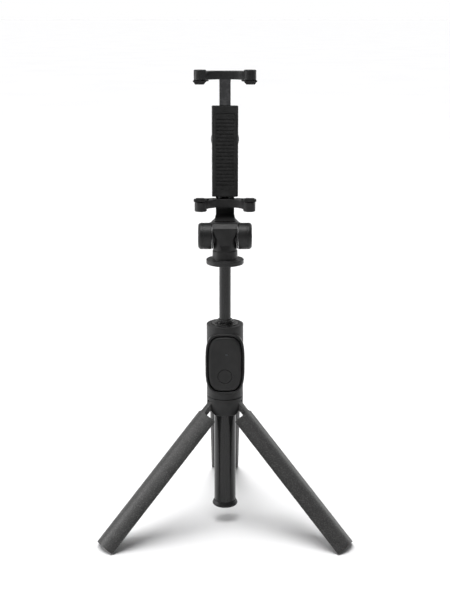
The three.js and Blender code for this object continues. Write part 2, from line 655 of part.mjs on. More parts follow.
function slideTongue() {
  const { half, front, back, bottom, top, wingTop } = TONGUE;
  return join(block(-half, half, front, back, bottom, top),
    block(-6.6, 6.6, front, back, bottom, wingTop));
}

function clampSpring() {
  const { radius, bottom, top, x, y } = SPRING;
  return turned([[0, bottom], [radius, bottom], [radius, top], [0, top]], 10).translate(x, y, 0);
}

// ---------------------------------------------------------------- remote control

// A cup with a soft front edge, holed for the button and the light.
function remoteFront() {
  const depth = 2 * REMOTE_EDGE + 1;
  const form = slab('y', remoteOutline(0), REMOTE_FRONT, REMOTE_FRONT + depth, REMOTE_EDGE, 3);
  const cup = common(form, block(-20, 20, REMOTE_FRONT - 1, REMOTE_SPLIT, 80, 140));
  const hollow = slab('y', remoteOutline(1.5), REMOTE_FRONT + 1, REMOTE_SPLIT + 1);
  const buttonHole = slab('y', disc(BUTTON.radius + 0.15, 0, BUTTON.z), -14, -10);
  const lightHole = slab('y', disc(LIGHT.radius + 0.12, LIGHT.x, LIGHT.z, 12), -14, -10);
  return cut(cup, hollow, buttonHole, lightHole);
}

// The back plate, with a register rim that stands inside the cup.
function remoteBack() {
  const plate = slab('y', remoteOutline(0), REMOTE_SPLIT + 0.2, REMOTE_BACK);
  const rim = slab('y', remoteOutline(1.7), REMOTE_SPLIT - 0.7, REMOTE_SPLIT + 0.3);
  const inside = slab('y', remoteOutline(2.4), REMOTE_SPLIT - 2, REMOTE_SPLIT + 0.2);
  return join(plate, cut(rim, inside));
}

function shutterButton() {
  return turned([[0, 0], [4.0, 0], [BUTTON.radius, 0.3], [BUTTON.radius, 1.15], [4.9, 1.15],
    [4.9, 1.4], [1.2, 1.4], [1.2, 1.6], [0, 1.6]])
    .rotateX(-Math.PI / 2).translate(0, REMOTE_FRONT, BUTTON.z);
}

function statusLight() {
  return slab('y', disc(LIGHT.radius, LIGHT.x, LIGHT.z, 12), REMOTE_FRONT + 0.05, -11.05);
}

function remoteBoard() {
  const board = slab('y', remoteOutline(2.8), -9.8, -9.3);
  return cut(board, slab('y', disc(BATTERY.radius + 0.2, 0, BATTERY.z, 24), -11, -8));
}

function remoteBattery() {
  return slab('y', disc(BATTERY.radius, 0, BATTERY.z, 24), -10.9, -9.0);
}

function switchDome() {
  return turned([[0, -0.25], [1.2, -0.2], [2.0, 0], [0, 0]], 16)
    .rotateX(-Math.PI / 2).translate(0, -9.85, BUTTON.z);
}

// Steel strip that the handle's two magnets pull on.
function remoteKeeper() {
  return block(-6.3, 6.3, REMOTE_SPLIT - 0.2, REMOTE_SPLIT + 0.1, MAGNET.z - 1.3, MAGNET.z + 1.3);
}

function dockMagnet(side) {
  return slab('y', disc(MAGNET.radius, side * MAGNET.x, MAGNET.z, 16), MAGNET.front, MAGNET.back);
}

// ---------------------------------------------------------------- assembly

function handleGroup() {
  const group = new THREE.Group();
  group.add(piece('handle_shell', handleShell(), blackPlastic()));
  group.add(piece('handle_bezel', handleBezel(), anodised()));
  group.add(piece('leg_hub', legHub(), blackPlastic()));
  group.add(piece('column_tube', columnTube(), anodised()));
  group.add(piece('column_cap', columnCap(), blackPlastic()));
  group.add(piece('dock_magnet_left', dockMagnet(-1), steel()));
  group.add(piece('dock_magnet_right', dockMagnet(1), steel()));
  for (const [side, azimuth] of Object.entries(TAB_AZIMUTHS)) {
    group.add(piece(`hub_screw_${side}`, spun(hubScrew(), azimuth), blackSteel()));
  }
  return group;
}

function poleGroup() {
  const group = new THREE.Group();
  SECTIONS.forEach((section, index) => {
    group.add(piece(`pole_section_${index + 1}`, poleSection(section), anodised()));
    group.add(piece(`section_guide_${index + 1}`, sectionGuide(section), slidePlastic()));
  });
  group.add(piece('swivel_stud', swivelStud(), steel()));
  return group;
}

function headGroup() {
  const group = new THREE.Group();
  group.add(piece('pole_head', poleHead(), blackPlastic()));
  group.add(piece('tilt_yoke', tiltYoke(), blackPlastic()));
  group.add(piece('tilt_bolt', tiltBolt(), blackSteel()));
  group.add(piece('tilt_nut', tiltNut(), steel()));
  for (const [side, end] of [['left', -1], ['right', 1]]) {
    group.add(piece(`tilt_washer_${side}`, tiltWasher(end), slidePlastic()));
    group.add(piece(`ear_cap_${side}`, earCap(end), blackPlastic()));
  }
  return group;
}

function clampGroup() {
  const group = new THREE.Group();
  group.add(piece('clamp_spine', clampSpine(), blackPlastic()));
  group.add(piece('lower_jaw', lowerJaw(), blackPlastic()));
  group.add(piece('upper_jaw', upperJaw(), blackPlastic()));
  group.add(piece('slide_tongue', slideTongue(), blackSteel()));
  group.add(piece('spine_pad', spinePad(), rubber()));
  group.add(piece('pivot_cap', pivotCap(), blackPlastic()));
  group.add(piece('pivot_screw', pivotScrew(), blackSteel()));
  for (const [side, end] of [['left', -1], ['right', 1]]) {
    group.add(piece(`lower_pad_${side}`, jawPad(LOWER_GRIP, -1, end), rubber()));
    group.add(piece(`upper_pad_${side}`, jawPad(UPPER_GRIP, 1, end), rubber()));
    const screw = piece(`jaw_screw_${side}`, jawScrew(), blackSteel());
    screw.position.set(JAW_SCREW_X[end < 0 ? 0 : 1], SPRING.y, 0);
    const spring = clampSpring();
    if (end < 0) spring.translate(-2 * SPRING.x, 0, 0);
    group.add(screw, piece(`clamp_spring_${side}`, spring, steel()));
  }
  return group;
}

function remoteGroup() {
  const group = new THREE.Group();
  group.add(piece('remote_front', remoteFront(), remotePlastic()));
  group.add(piece('remote_back', remoteBack(), blackPlastic()));
  group.add(piece('shutter_button', shutterButton(), remotePlastic()));
  group.add(piece('status_light', statusLight(), lightPipe()));
  group.add(piece('remote_board', remoteBoard(), boardGreen()));
  group.add(piece('remote_battery', remoteBattery(), steel()));
  group.add(piece('switch_dome', switchDome(), steel()));
  group.add(piece('remote_keeper', remoteKeeper(), steel()));
  return group;
}

const group = new THREE.Group();
group.add(handleGroup(), poleGroup(), headGroup(), clampGroup(), remoteGroup());
for (const [side, azimuth] of Object.entries(LEG_AZIMUTHS)) group.add(leg(side, azimuth));

// The origin is under the middle of the box around the whole object.
const box = new THREE.Box3().setFromObject(group, true);
group.position.y = -(box.min.y + box.max.y) / 2;

export default group;
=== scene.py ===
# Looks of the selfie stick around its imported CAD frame: finer meshes for what shows, procedural
# materials for everything, a pale floor, soft studio light and the camera.
# Shapes are worked out in millimetres from the pole's axis and placed in the frame at the end.
import json
import math

import bmesh
import bpy
from mathutils import Matrix, Vector

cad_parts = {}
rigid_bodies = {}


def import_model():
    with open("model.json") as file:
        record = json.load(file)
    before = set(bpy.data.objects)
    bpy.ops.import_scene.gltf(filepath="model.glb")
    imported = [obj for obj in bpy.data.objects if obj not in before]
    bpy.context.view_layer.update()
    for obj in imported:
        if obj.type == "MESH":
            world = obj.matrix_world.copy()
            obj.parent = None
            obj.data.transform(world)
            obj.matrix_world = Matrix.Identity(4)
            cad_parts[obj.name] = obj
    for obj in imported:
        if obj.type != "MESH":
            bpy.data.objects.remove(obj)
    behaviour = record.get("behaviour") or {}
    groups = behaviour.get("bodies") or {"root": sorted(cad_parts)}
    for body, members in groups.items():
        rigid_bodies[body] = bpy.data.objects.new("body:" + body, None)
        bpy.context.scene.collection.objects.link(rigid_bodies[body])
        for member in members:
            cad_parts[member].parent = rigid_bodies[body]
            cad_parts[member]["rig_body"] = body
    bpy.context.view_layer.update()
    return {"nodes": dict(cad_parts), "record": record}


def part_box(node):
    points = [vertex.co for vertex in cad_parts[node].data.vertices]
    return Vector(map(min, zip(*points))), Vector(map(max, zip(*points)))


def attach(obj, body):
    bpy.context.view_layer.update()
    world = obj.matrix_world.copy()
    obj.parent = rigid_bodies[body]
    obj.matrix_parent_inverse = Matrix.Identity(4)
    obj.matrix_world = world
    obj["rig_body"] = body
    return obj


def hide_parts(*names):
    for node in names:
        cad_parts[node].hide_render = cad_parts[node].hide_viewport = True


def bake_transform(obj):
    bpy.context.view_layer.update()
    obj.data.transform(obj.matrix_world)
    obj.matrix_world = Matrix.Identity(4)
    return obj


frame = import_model()

MM = 0.001
SIDES = 96
POLE_Y = sum(corner.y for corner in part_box("column_tube")) / 2
TO_FRAME = Matrix.Translation((0, POLE_Y, 0)) @ Matrix.Scale(MM, 4)


def box_mm(node):
    """A CAD node's lowest and highest corners, in millimetres from the pole's axis."""
    to_mm = TO_FRAME.inverted()
    return tuple(to_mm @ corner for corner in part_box(node))


# ------------------------------------------------------------------ camera, light and floor

FOCAL_LENGTH = 67.2
CAMERA_BACK = 0.66521
CAMERA_HEIGHT = 0.31816
CAMERA_PITCH = 14.51
LIGHT_AIM = (0, 0, 0.14)


def add_camera():
    data = bpy.data.cameras.new("camera")
    data.lens = FOCAL_LENGTH
    data.sensor_width = 36
    data.clip_start = 0.02
    camera = bpy.data.objects.new("camera", data)
    camera.location = (0, POLE_Y - CAMERA_BACK, CAMERA_HEIGHT)
    camera.rotation_euler = (math.radians(90 - CAMERA_PITCH), 0, 0)
    bpy.context.scene.collection.objects.link(camera)
    bpy.context.scene.camera = camera


def add_softbox(name, place, aim, size, power):
    data = bpy.data.lights.new(name, "AREA")
    data.shape = "RECTANGLE"
    data.size, data.size_y = size
    data.energy = power
    light = bpy.data.objects.new(name, data)
    light.location = place
    light.rotation_euler = (Vector(aim) - Vector(place)).to_track_quat("-Z", "Y").to_euler()
    bpy.context.scene.collection.objects.link(light)


def add_overhead(strength, spread):
    """Even soft light from above, alike over the whole floor."""
    data = bpy.data.lights.new("overhead", "SUN")
    data.energy = strength
    data.angle = math.radians(spread)
    light = bpy.data.objects.new("overhead", data)
    light.rotation_euler = (math.radians(8), math.radians(-6), 0)
    bpy.context.scene.collection.objects.link(light)


def add_lights():
    add_softbox("key_left", (-1.5, 0.05, 0.42), LIGHT_AIM, (0.8, 1.5), 18)
    add_softbox("rim_right", (1.2, 1.1, 0.6), LIGHT_AIM, (0.5, 1.2), 5)
    add_overhead(3.2, 42)


def add_world():
    """Plain white to look at; as light, dim from the front and bright from behind."""
    world = bpy.data.worlds.new("studio")
    world.use_nodes = True
    bpy.context.scene.world = world
    nodes, links = world.node_tree.nodes, world.node_tree.links
    seen = nodes.new("ShaderNodeBackground")
    seen.inputs["Color"].default_value = (1, 1, 1, 1)
    lit = nodes["Background"]
    lit.inputs["Color"].default_value = (1, 1, 1, 1)
    place = nodes.new("ShaderNodeTexCoord")
    parts = nodes.new("ShaderNodeSeparateXYZ")
    remap = nodes.new("ShaderNodeMapRange")
    for socket, number in (("From Min", -0.7), ("From Max", 0.9), ("To Min", 0.02), ("To Max", 0.5)):
        remap.inputs[socket].default_value = number
    links.new(place.outputs["Generated"], parts.inputs[0])
    links.new(parts.outputs["Y"], remap.inputs["Value"])
    links.new(remap.outputs["Result"], lit.inputs["Strength"])
    path = nodes.new("ShaderNodeLightPath")
    mix = nodes.new("ShaderNodeMixShader")
    links.new(path.outputs["Is Camera Ray"], mix.inputs[0])
    links.new(lit.outputs[0], mix.inputs[1])
    links.new(seen.outputs[0], mix.inputs[2])
    links.new(mix.outputs[0], nodes["World Output"].inputs["Surface"])
    bpy.context.scene.view_settings.view_transform = "Standard"


def add_floor():
    mesh = bpy.data.meshes.new("floor")
    reach = 40
    mesh.from_pydata([(-reach, -reach, 0), (reach, -reach, 0), (reach, reach, 0), (-reach, reach, 0)],
                     [], [(0, 1, 2, 3)])
    floor = bpy.data.objects.new("floor", mesh)
    bpy.context.scene.collection.objects.link(floor)
    paint = Paint("studio_floor", (0.86, 0.86, 0.865), 0.7)
    paint.vary_colour((0.84, 0.84, 0.845), scale=3)
    mesh.materials.append(paint.material)


# ------------------------------------------------------------------ materials

class Paint:
    """A Principled material whose colour, roughness and relief vary by noise in object space."""

    def __init__(self, name, colour, roughness, metallic=0.0, specular=0.5):
        self.material = bpy.data.materials.new(name)
        self.material.use_nodes = True
        self.nodes = self.material.node_tree.nodes
        self.links = self.material.node_tree.links
        self.shader = self.nodes["Principled BSDF"]
        self.colour = colour
        self.shader.inputs["Base Color"].default_value = (*colour, 1)
        self.shader.inputs["Roughness"].default_value = roughness
        self.shader.inputs["Metallic"].default_value = metallic
        self.shader.inputs["Specular IOR Level"].default_value = specular
        self.place = self.nodes.new("ShaderNodeTexCoord").outputs["Object"]

    def noise(self, scale, detail=2.0, stretch=(1, 1, 1)):
        mapping = self.nodes.new("ShaderNodeMapping")
        mapping.inputs["Scale"].default_value = stretch
        self.links.new(self.place, mapping.inputs["Vector"])
        noise = self.nodes.new("ShaderNodeTexNoise")
        noise.inputs["Scale"].default_value = scale
        noise.inputs["Detail"].default_value = detail
        self.links.new(mapping.outputs[0], noise.inputs["Vector"])
        return noise.outputs["Fac"]

    def spread(self, value, low, high, start=0.3, end=0.7):
        remap = self.nodes.new("ShaderNodeMapRange")
        for socket, number in (("From Min", start), ("From Max", end), ("To Min", low), ("To Max", high)):
            remap.inputs[socket].default_value = number
        self.links.new(value, remap.inputs["Value"])
        return remap.outputs["Result"]

    def mix(self, factor, first, second):
        """Blends two colours, or a colour and another mix's output."""
        mix = self.nodes.new("ShaderNodeMix")
        mix.data_type = "RGBA"
        for socket, source in ((6, first), (7, second)):
            if isinstance(source, tuple):
                mix.inputs[socket].default_value = (*source, 1)
            else:
                self.links.new(source, mix.inputs[socket])
        self.links.new(factor, mix.inputs[0])
        return mix.outputs[2]

    def vary_colour(self, other, scale, detail=3.0, stretch=(1, 1, 1), start=0.35, end=0.65):
        factor = self.spread(self.noise(scale, detail, stretch), 0, 1, start, end)
        self.links.new(self.mix(factor, self.colour, other), self.shader.inputs["Base Color"])
        return self

    def speckle(self, other, broad, broad_scale, scale, start=0.55, end=0.72):
        """Fine specks of one colour over broad soft patches of another."""
        patches = self.mix(self.spread(self.noise(broad_scale, 2), 0, 1), self.colour, broad)
        specks = self.spread(self.noise(scale, 1.5), 0, 1, start, end)
        self.links.new(self.mix(specks, patches, other), self.shader.inputs["Base Color"])
        return self

    def vary_roughness(self, low, high, scale, detail=2.0, stretch=(1, 1, 1)):
        rough = self.spread(self.noise(scale, detail, stretch), low, high)
        self.links.new(rough, self.shader.inputs["Roughness"])
        return self

    def relief(self, depth, scale, detail=2.0, stretch=(1, 1, 1)):
        bump = self.nodes.new("ShaderNodeBump")
        bump.inputs["Strength"].default_value = 1
        bump.inputs["Distance"].default_value = depth * MM
        self.links.new(self.noise(scale, detail, stretch), bump.inputs["Height"])
        if self.shader.inputs["Normal"].is_linked:
            earlier = self.shader.inputs["Normal"].links[0].from_socket
            self.links.new(earlier, bump.inputs["Normal"])
        self.links.new(bump.outputs[0], self.shader.inputs["Normal"])
        return self


def black_plastic():
    """Moulded plastic with a fine spark-eroded grain."""
    paint = Paint("black_plastic", (0.011, 0.011, 0.0111), 0.40, specular=0.27)
    paint.vary_colour((0.018, 0.018, 0.0182), scale=140)
    paint.vary_roughness(0.36, 0.50, scale=900)
    return paint.relief(0.012, scale=3200, detail=3).material


def remote_plastic():
    """The remote's matt, soft-touch plastic: the finest grain."""
    paint = Paint("remote_plastic", (0.014, 0.014, 0.0141), 0.5, specular=0.27)
    paint.vary_colour((0.020, 0.020, 0.0202), scale=90)
    paint.vary_roughness(0.46, 0.56, scale=1200)
    return paint.relief(0.006, scale=4200, detail=2).material


def black_anodised():
    """Drawn tube: satin gloss with faint lines along its length."""
    along = (1, 1, 0.012)
    paint = Paint("black_anodised", (0.008, 0.008, 0.0081), 0.24, specular=0.36)
    paint.vary_colour((0.012, 0.012, 0.0121), scale=2600, stretch=along)
    paint.vary_roughness(0.17, 0.27, scale=3000, stretch=along)
    return paint.relief(0.0025, scale=3600, detail=2, stretch=along).material


def coated_metal():
    """Powder coat: orange peel with fine lighter specks."""
    paint = Paint("coated_metal", (0.022, 0.0217, 0.0214), 0.45, specular=0.5)
    paint.speckle((0.066, 0.065, 0.064), (0.032, 0.0316, 0.0312), broad_scale=130, scale=1500,
                  start=0.48, end=0.68)
    paint.vary_roughness(0.36, 0.52, scale=1600)
    paint.relief(0.05, scale=620, detail=1)
    return paint.relief(0.03, scale=1500, detail=2).material


def black_rubber():
    """Matt rubber with a dusty bloom."""
    paint = Paint("black_rubber", (0.010, 0.010, 0.010), 0.75, specular=0.35)
    paint.vary_colour((0.016, 0.016, 0.016), scale=260)
    paint.vary_roughness(0.68, 0.85, scale=500)
    return paint.relief(0.02, scale=2200, detail=3).material


def slide_plastic():
    """Waxy bearing plastic."""
    paint = Paint("slide_plastic", (0.022, 0.022, 0.0225), 0.5)
    paint.vary_colour((0.034, 0.034, 0.035), scale=200)
    return paint.relief(0.008, scale=1800).material


def bright_steel():
    """Ground steel, finely scratched round and across."""
    paint = Paint("bright_steel", (0.52, 0.53, 0.54), 0.3, metallic=1.0)
    paint.vary_colour((0.62, 0.63, 0.64), scale=700, stretch=(1, 1, 8))
    paint.vary_roughness(0.24, 0.42, scale=1500, stretch=(1, 1, 10))
    return paint.relief(0.003, scale=2500, stretch=(1, 1, 12)).material


def black_steel():
    """Blackened steel with lighter rubbed patches."""
    paint = Paint("black_steel", (0.06, 0.06, 0.062), 0.38, metallic=0.9)
    paint.vary_colour((0.11, 0.11, 0.112), scale=420, start=0.45, end=0.75)
    paint.vary_roughness(0.3, 0.5, scale=800)
    return paint.relief(0.006, scale=1700, detail=3).material


def circuit_board():
    """Green solder mask with a net of paler copper tracks under it."""
    paint = Paint("circuit_board", (0.010, 0.085, 0.040), 0.4)
    cells = paint.nodes.new("ShaderNodeTexVoronoi")
    cells.feature = "DISTANCE_TO_EDGE"
    cells.distance = "MANHATTAN"
    cells.inputs["Scale"].default_value = 480
    paint.links.new(paint.place, cells.inputs["Vector"])
    tracks = paint.spread(cells.outputs["Distance"], 1, 0, 0.03, 0.07)
    colour = paint.mix(tracks, paint.colour, (0.035, 0.20, 0.09))
    paint.links.new(colour, paint.shader.inputs["Base Color"])
    return paint.relief(0.01, scale=900).material


def light_pipe():
    """Smoked clear plastic over the status light."""
    paint = Paint("light_pipe", (0.055, 0.060, 0.070), 0.16)
    paint.shader.inputs["Coat Weight"].default_value = 0.5
    paint.vary_colour((0.085, 0.092, 0.105), scale=900)
    return paint.relief(0.004, scale=1500).material


FINISHES = (black_plastic, remote_plastic, black_anodised, coated_metal, black_rubber,
            slide_plastic, bright_steel, black_steel, circuit_board, light_pipe)
finishes = {make.__name__: make() for make in FINISHES}


# ------------------------------------------------------------------ outlines

def arc(x, y, radius, start, end, steps=12):
    """Points along an arc, its angles in degrees."""
    angles = [math.radians(start + (end - start) * step / steps) for step in range(steps + 1)]
    return [(x + radius * math.cos(angle), y + radius * math.sin(angle)) for angle in angles]


def rounded(corners, steps=6):
    """A closed outline from (x, y, radius) corners."""
    points = []
    for index, (x, y, radius) in enumerate(corners):
        corner = Vector((x, y))
        before = (Vector(corners[index - 1][:2]) - corner).normalized()
        after = (Vector(corners[(index + 1) % len(corners)][:2]) - corner).normalized()
        if radius == 0:
            points.append((x, y))
            continue
        half = before.angle(after) / 2
        centre = corner + (before + after).normalized() * (radius / math.sin(half))
        spokes = [corner + way * (radius / math.tan(half)) - centre for way in (before, after)]
        start, end = (math.degrees(math.atan2(spoke.y, spoke.x)) for spoke in spokes)
        sweep = (end - start + 180) % 360 - 180
        points += arc(centre.x, centre.y, radius, start, start + sweep, steps)
    return points


def rectangle(x0, x1, y0, y1, radius=0.0, steps=6):
    return rounded([(x0, y0, radius), (x1, y0, radius), (x1, y1, radius), (x0, y1, radius)], steps)


def disc(radius, x=0.0, y=0.0, sides=64):
    return arc(x, y, radius, 0, 360, sides)[:-1]


def mirrored(corners):
    return [(-x, *rest) for x, *rest in reversed(corners)]


# ------------------------------------------------------------------ solids

# Where an outline's two coordinates and its depth go, for each direction of extrusion.
FACING = {"x": lambda u, v, w: (w, u, v), "y": lambda u, v, w: (u, w, v), "z": lambda u, v, w: (u, v, w)}


def solid(vertices, faces):
    mesh = bpy.data.meshes.new("solid")
    mesh.from_pydata(vertices, [], faces)
    made = bpy.data.objects.new("solid", mesh)
    bpy.context.scene.collection.objects.link(made)
    return tidy_normals(made)


def tidy_normals(made, merge=1e-5):
    form = bmesh.new()
    form.from_mesh(made.data)
    bmesh.ops.remove_doubles(form, verts=form.verts, dist=merge)
    bmesh.ops.recalc_face_normals(form, faces=form.faces)
    form.to_mesh(made.data)
    form.free()
    return made


def loft(direction, sections):
    """Skins equal-sized outlines placed at depths along one direction, with flat ends."""
    put = FACING[direction]
    count = len(sections[0][1])
    vertices = [put(u, v, depth) for depth, shape in sections for u, v in shape]
    faces = [tuple(range(count)), tuple(range(len(vertices) - count, len(vertices)))]
    for level in range(len(sections) - 1):
        for k in range(count):
            here, beside = level * count + k, level * count + (k + 1) % count
            faces.append((here, beside, beside + count, here + count))
    return solid(vertices, faces)


def prism(direction, shape, low, high):
    return loft(direction, [(low, shape), (high, shape)])


def soft_prism(direction, outline_at, low, high, edge, steps=5, ends=(True, True)):
    """A prism with quarter-round end edges; outline_at gives the outline for an inset."""
    def bend(step):
        angle = math.radians(90 * step / steps)
        return edge * (1 - math.sin(angle)), edge * (1 - math.cos(angle))
    sections = []
    for step in range(steps + 1) if ends[0] else ():
        inset, rise = bend(step)
        sections.append((low + rise, outline_at(inset)))
    if not ends[0]:
        sections.append((low, outline_at(0)))
    for step in range(steps, -1, -1) if ends[1] else ():
        inset, rise = bend(step)
        sections.append((high - rise, outline_at(inset)))
    if not ends[1]:
        sections.append((high, outline_at(0)))
    return loft(direction, sections)


def block(x0, x1, y0, y1, z0, z1):
    return prism("z", rectangle(x0, x1, y0, y1), z0, z1)


def turned(profile, sides=SIDES):
    """Turns an (r, z) profile about Z. It starts and ends on the axis, or closes on itself."""
    vertices, rings = [], []
    for radius, height in profile:
        around = 1 if radius == 0 else sides
        rings.append(range(len(vertices), len(vertices) + around))
        vertices += [(x, y, height) for x, y in (disc(radius, sides=sides) if radius else [(0, 0)])]
    if profile[0][0] > 0:
        rings.append(rings[0])
    faces = []
    for below, above in zip(rings, rings[1:]):
        for k in range(sides):
            n = (k + 1) % sides
            corners = (below[k % len(below)], below[n % len(below)],
                       above[n % len(above)], above[k % len(above)])
            face = tuple(dict.fromkeys(corners))
            if len(face) > 2:
                faces.append(face)
    return solid(vertices, faces)


def moved(made, matrix):
    made.data.transform(matrix)
    return made


def spun(made, degrees, axis="Z"):
    return moved(made, Matrix.Rotation(math.radians(degrees), 4, axis))


def shifted(made, x=0.0, y=0.0, z=0.0):
    return moved(made, Matrix.Translation((x, y, z)))


def combined(operation, body, tools):
    for tool in tools:
        change = body.modifiers.new(operation, "BOOLEAN")
        change.operation = operation
        change.solver = "EXACT"
        change.object = tool
    graph = bpy.context.evaluated_depsgraph_get()
    mesh = bpy.data.meshes.new_from_object(body.evaluated_get(graph))
    body.modifiers.clear()
    body.data = mesh
    for tool in tools:
        bpy.data.objects.remove(tool)
    return tidy_normals(body)


def join(body, *tools):
    return combined("UNION", body, tools)


def cut(body, *tools):
    return combined("DIFFERENCE", body, tools)


def common(body, *tools):
    return combined("INTERSECT", body, tools)


SMOOTH_UP_TO = 32
EASED_FROM = 38


def body_of(node):
    """The moving body that carries a CAD node."""
    return next(name for name, members in frame["record"]["behaviour"]["bodies"].items() if node in members)


def show(name, made, body, slot, edge=0.0):
    """Finishes a piece: eases its sharp edges, places it in the frame and hangs it on its body."""
    made.name = made.data.name = name
    made.data.transform(TO_FRAME)
    made.data.materials.clear()
    made.data.materials.append(finishes[slot])
    made.data.shade_smooth()
    made.data.set_sharp_from_angle(angle=math.radians(SMOOTH_UP_TO))
    if edge:
        bevel = made.modifiers.new("edges", "BEVEL")
        bevel.width = edge * MM
        bevel.segments = 2
        bevel.limit_method = "ANGLE"
        bevel.angle_limit = math.radians(EASED_FROM)
        bevel.miter_outer = "MITER_ARC"
    normals = made.modifiers.new("normals", "WEIGHTED_NORMAL")
    normals.keep_sharp = True
    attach(made, body)
    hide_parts(name)
    return made


# ------------------------------------------------------------------ handle and hub

HANDLE_LOW, HANDLE_HIGH = box_mm("handle_shell")
HUB_LOW, HUB_HIGH = box_mm("leg_hub")
BEZEL_LOW, BEZEL_HIGH = box_mm("handle_bezel")
COLUMN_LOW, COLUMN_HIGH = box_mm("column_tube")
REMOTE_LOW, REMOTE_HIGH = box_mm("remote_front")
BUTTON_LOW, BUTTON_HIGH = box_mm("shutter_button")
LIGHT_LOW, LIGHT_HIGH = box_mm("status_light")
PIN_LOW, PIN_HIGH = box_mm("hinge_pin_rear")

BODY_R = HANDLE_HIGH.y
CORE_BORE_R = COLUMN_HIGH.x + 0.25
REMOTE_Z = (REMOTE_LOW.z + REMOTE_HIGH.z) / 2
REMOTE_HALF_WIDTH = REMOTE_HIGH.x
REMOTE_HALF_HEIGHT = (REMOTE_HIGH.z - REMOTE_LOW.z) / 2
REMOTE_FRONT = REMOTE_LOW.y
REMOTE_EDGE = 2.0
REMOTE_EXPONENT = 3.5
POCKET_FLOOR = -7.6
POCKET_GAP = 0.45
RIM_WIDTH = 1.2
RIM_FRONT = HANDLE_LOW.y
RIM_BEVEL = 0.8
RIM_FULL_TO = -8.4
RIM_BACK = -4.8
BUTTON_Z = (BUTTON_LOW.z + BUTTON_HIGH.z) / 2
BUTTON_R = 4.3
LIGHT_X = (LIGHT_LOW.x + LIGHT_HIGH.x) / 2
LIGHT_Z = (LIGHT_LOW.z + LIGHT_HIGH.z) / 2
LIGHT_R = (LIGHT_HIGH.x - LIGHT_LOW.x) / 2
MAGNET_X, MAGNET_Z, MAGNET_R = 6.0, 97.5, 1.25
SCREW_U = 9.2
SCREW_BORE_R, SCREW_HEAD_BORE_R, SCREW_HEAD_SEAT = 1.0, 1.65, 76.2
HINGE_U = 9.6
TAB_HALF, TAB_CORNER_R = 9.2, 5
SLOT_FROM, SLOT_HALF, SLOT_ABOVE_HINGE = 7.4, 2.35, 2.1
PIN_BORE_R, PIN_BORE_HALF = 0.9, 3.7
BELOW_HUB = 60
HINGE_Z = (PIN_LOW.z + PIN_HIGH.z) / 2
LEG_AZIMUTHS = {"rear": 90, "left": 210, "right": 330}
TAB_AZIMUTHS = {"front": 270, "right": 30, "left": 150}


def remote_outline(inset):
    """A superellipse: the remote seen from the front, smaller by an inset or larger by a negative one."""
    half_width, half_height = REMOTE_HALF_WIDTH - inset, REMOTE_HALF_HEIGHT - inset
    def swell(value):
        return math.copysign(abs(value) ** (2 / REMOTE_EXPONENT), value)
    steps = 128
    angles = [math.tau * (step + 0.5) / steps for step in range(steps)]
    return [(half_width * swell(math.cos(angle)), REMOTE_Z + half_height * swell(math.sin(angle)))
            for angle in angles]


def pocket_rim():
    """The raised frame round the pocket: a soft front edge, tapered back into the handle."""
    grow = -(POCKET_GAP + RIM_WIDTH)
    steps = 6
    sections = []
    for step in range(steps + 1):
        angle = math.radians(90 * step / steps)
        inset = RIM_BEVEL * (1 - math.sin(angle))
        sections.append((RIM_FRONT + RIM_BEVEL * (1 - math.cos(angle)), remote_outline(grow + inset)))
    taper = RIM_BACK - RIM_FULL_TO
    for step in range(steps + 1):
        share = step / steps
        inset = taper / 2 * share * share
        sections.append((RIM_FULL_TO + taper * share, remote_outline(grow + inset)))
    return loft("y", sections)


def handle_shell():
    top, bottom = HANDLE_HIGH.z, HANDLE_LOW.z
    seat_r, seat_z = BEZEL_HIGH.x + 0.2, COLUMN_HIGH.z
    edge = 0.4
    shell = turned([
        (CORE_BORE_R, bottom), *arc(BODY_R - 0.25, bottom + 0.25, 0.25, -90, 0, 3),
        *arc(BODY_R - edge, top - edge, edge, 0, 90, 7), (seat_r + 0.15, top),
        (seat_r, top - 0.15), (seat_r, seat_z), (CORE_BORE_R, seat_z),
    ], 144)
    core = prism("z", disc(CORE_BORE_R + 0.3, sides=96), bottom - 1, top + 1)
    mouth = 0.2
    pocket = loft("y", [
        (-20, remote_outline(-POCKET_GAP - mouth)), (RIM_FRONT, remote_outline(-POCKET_GAP - mouth)),
        (RIM_FRONT + mouth, remote_outline(-POCKET_GAP)), (POCKET_FLOOR, remote_outline(-POCKET_GAP)),
    ])
    seats = [prism("y", disc(MAGNET_R + 0.15, side * MAGNET_X, MAGNET_Z, 32), POCKET_FLOOR - 1, -5.8)
             for side in (-1, 1)]
    pilots = [spun(prism("z", disc(0.95, SCREW_U, 0, 20), bottom - 1, bottom + 4.4), azimuth)
              for azimuth in TAB_AZIMUTHS.values()]
    return cut(join(shell, cut(pocket_rim(), core)), pocket, *seats, *pilots)


def handle_bezel():
    low, high, outer, inner = BEZEL_LOW.z, BEZEL_HIGH.z, BEZEL_HIGH.x, 6.2
    return turned([
        (inner, low), (outer, low), *arc(outer - 0.3, high - 0.3, 0.3, 0, 90, 4),
        *arc(inner + 0.45, high - 0.45, 0.45, 90, 180, 5),
    ])


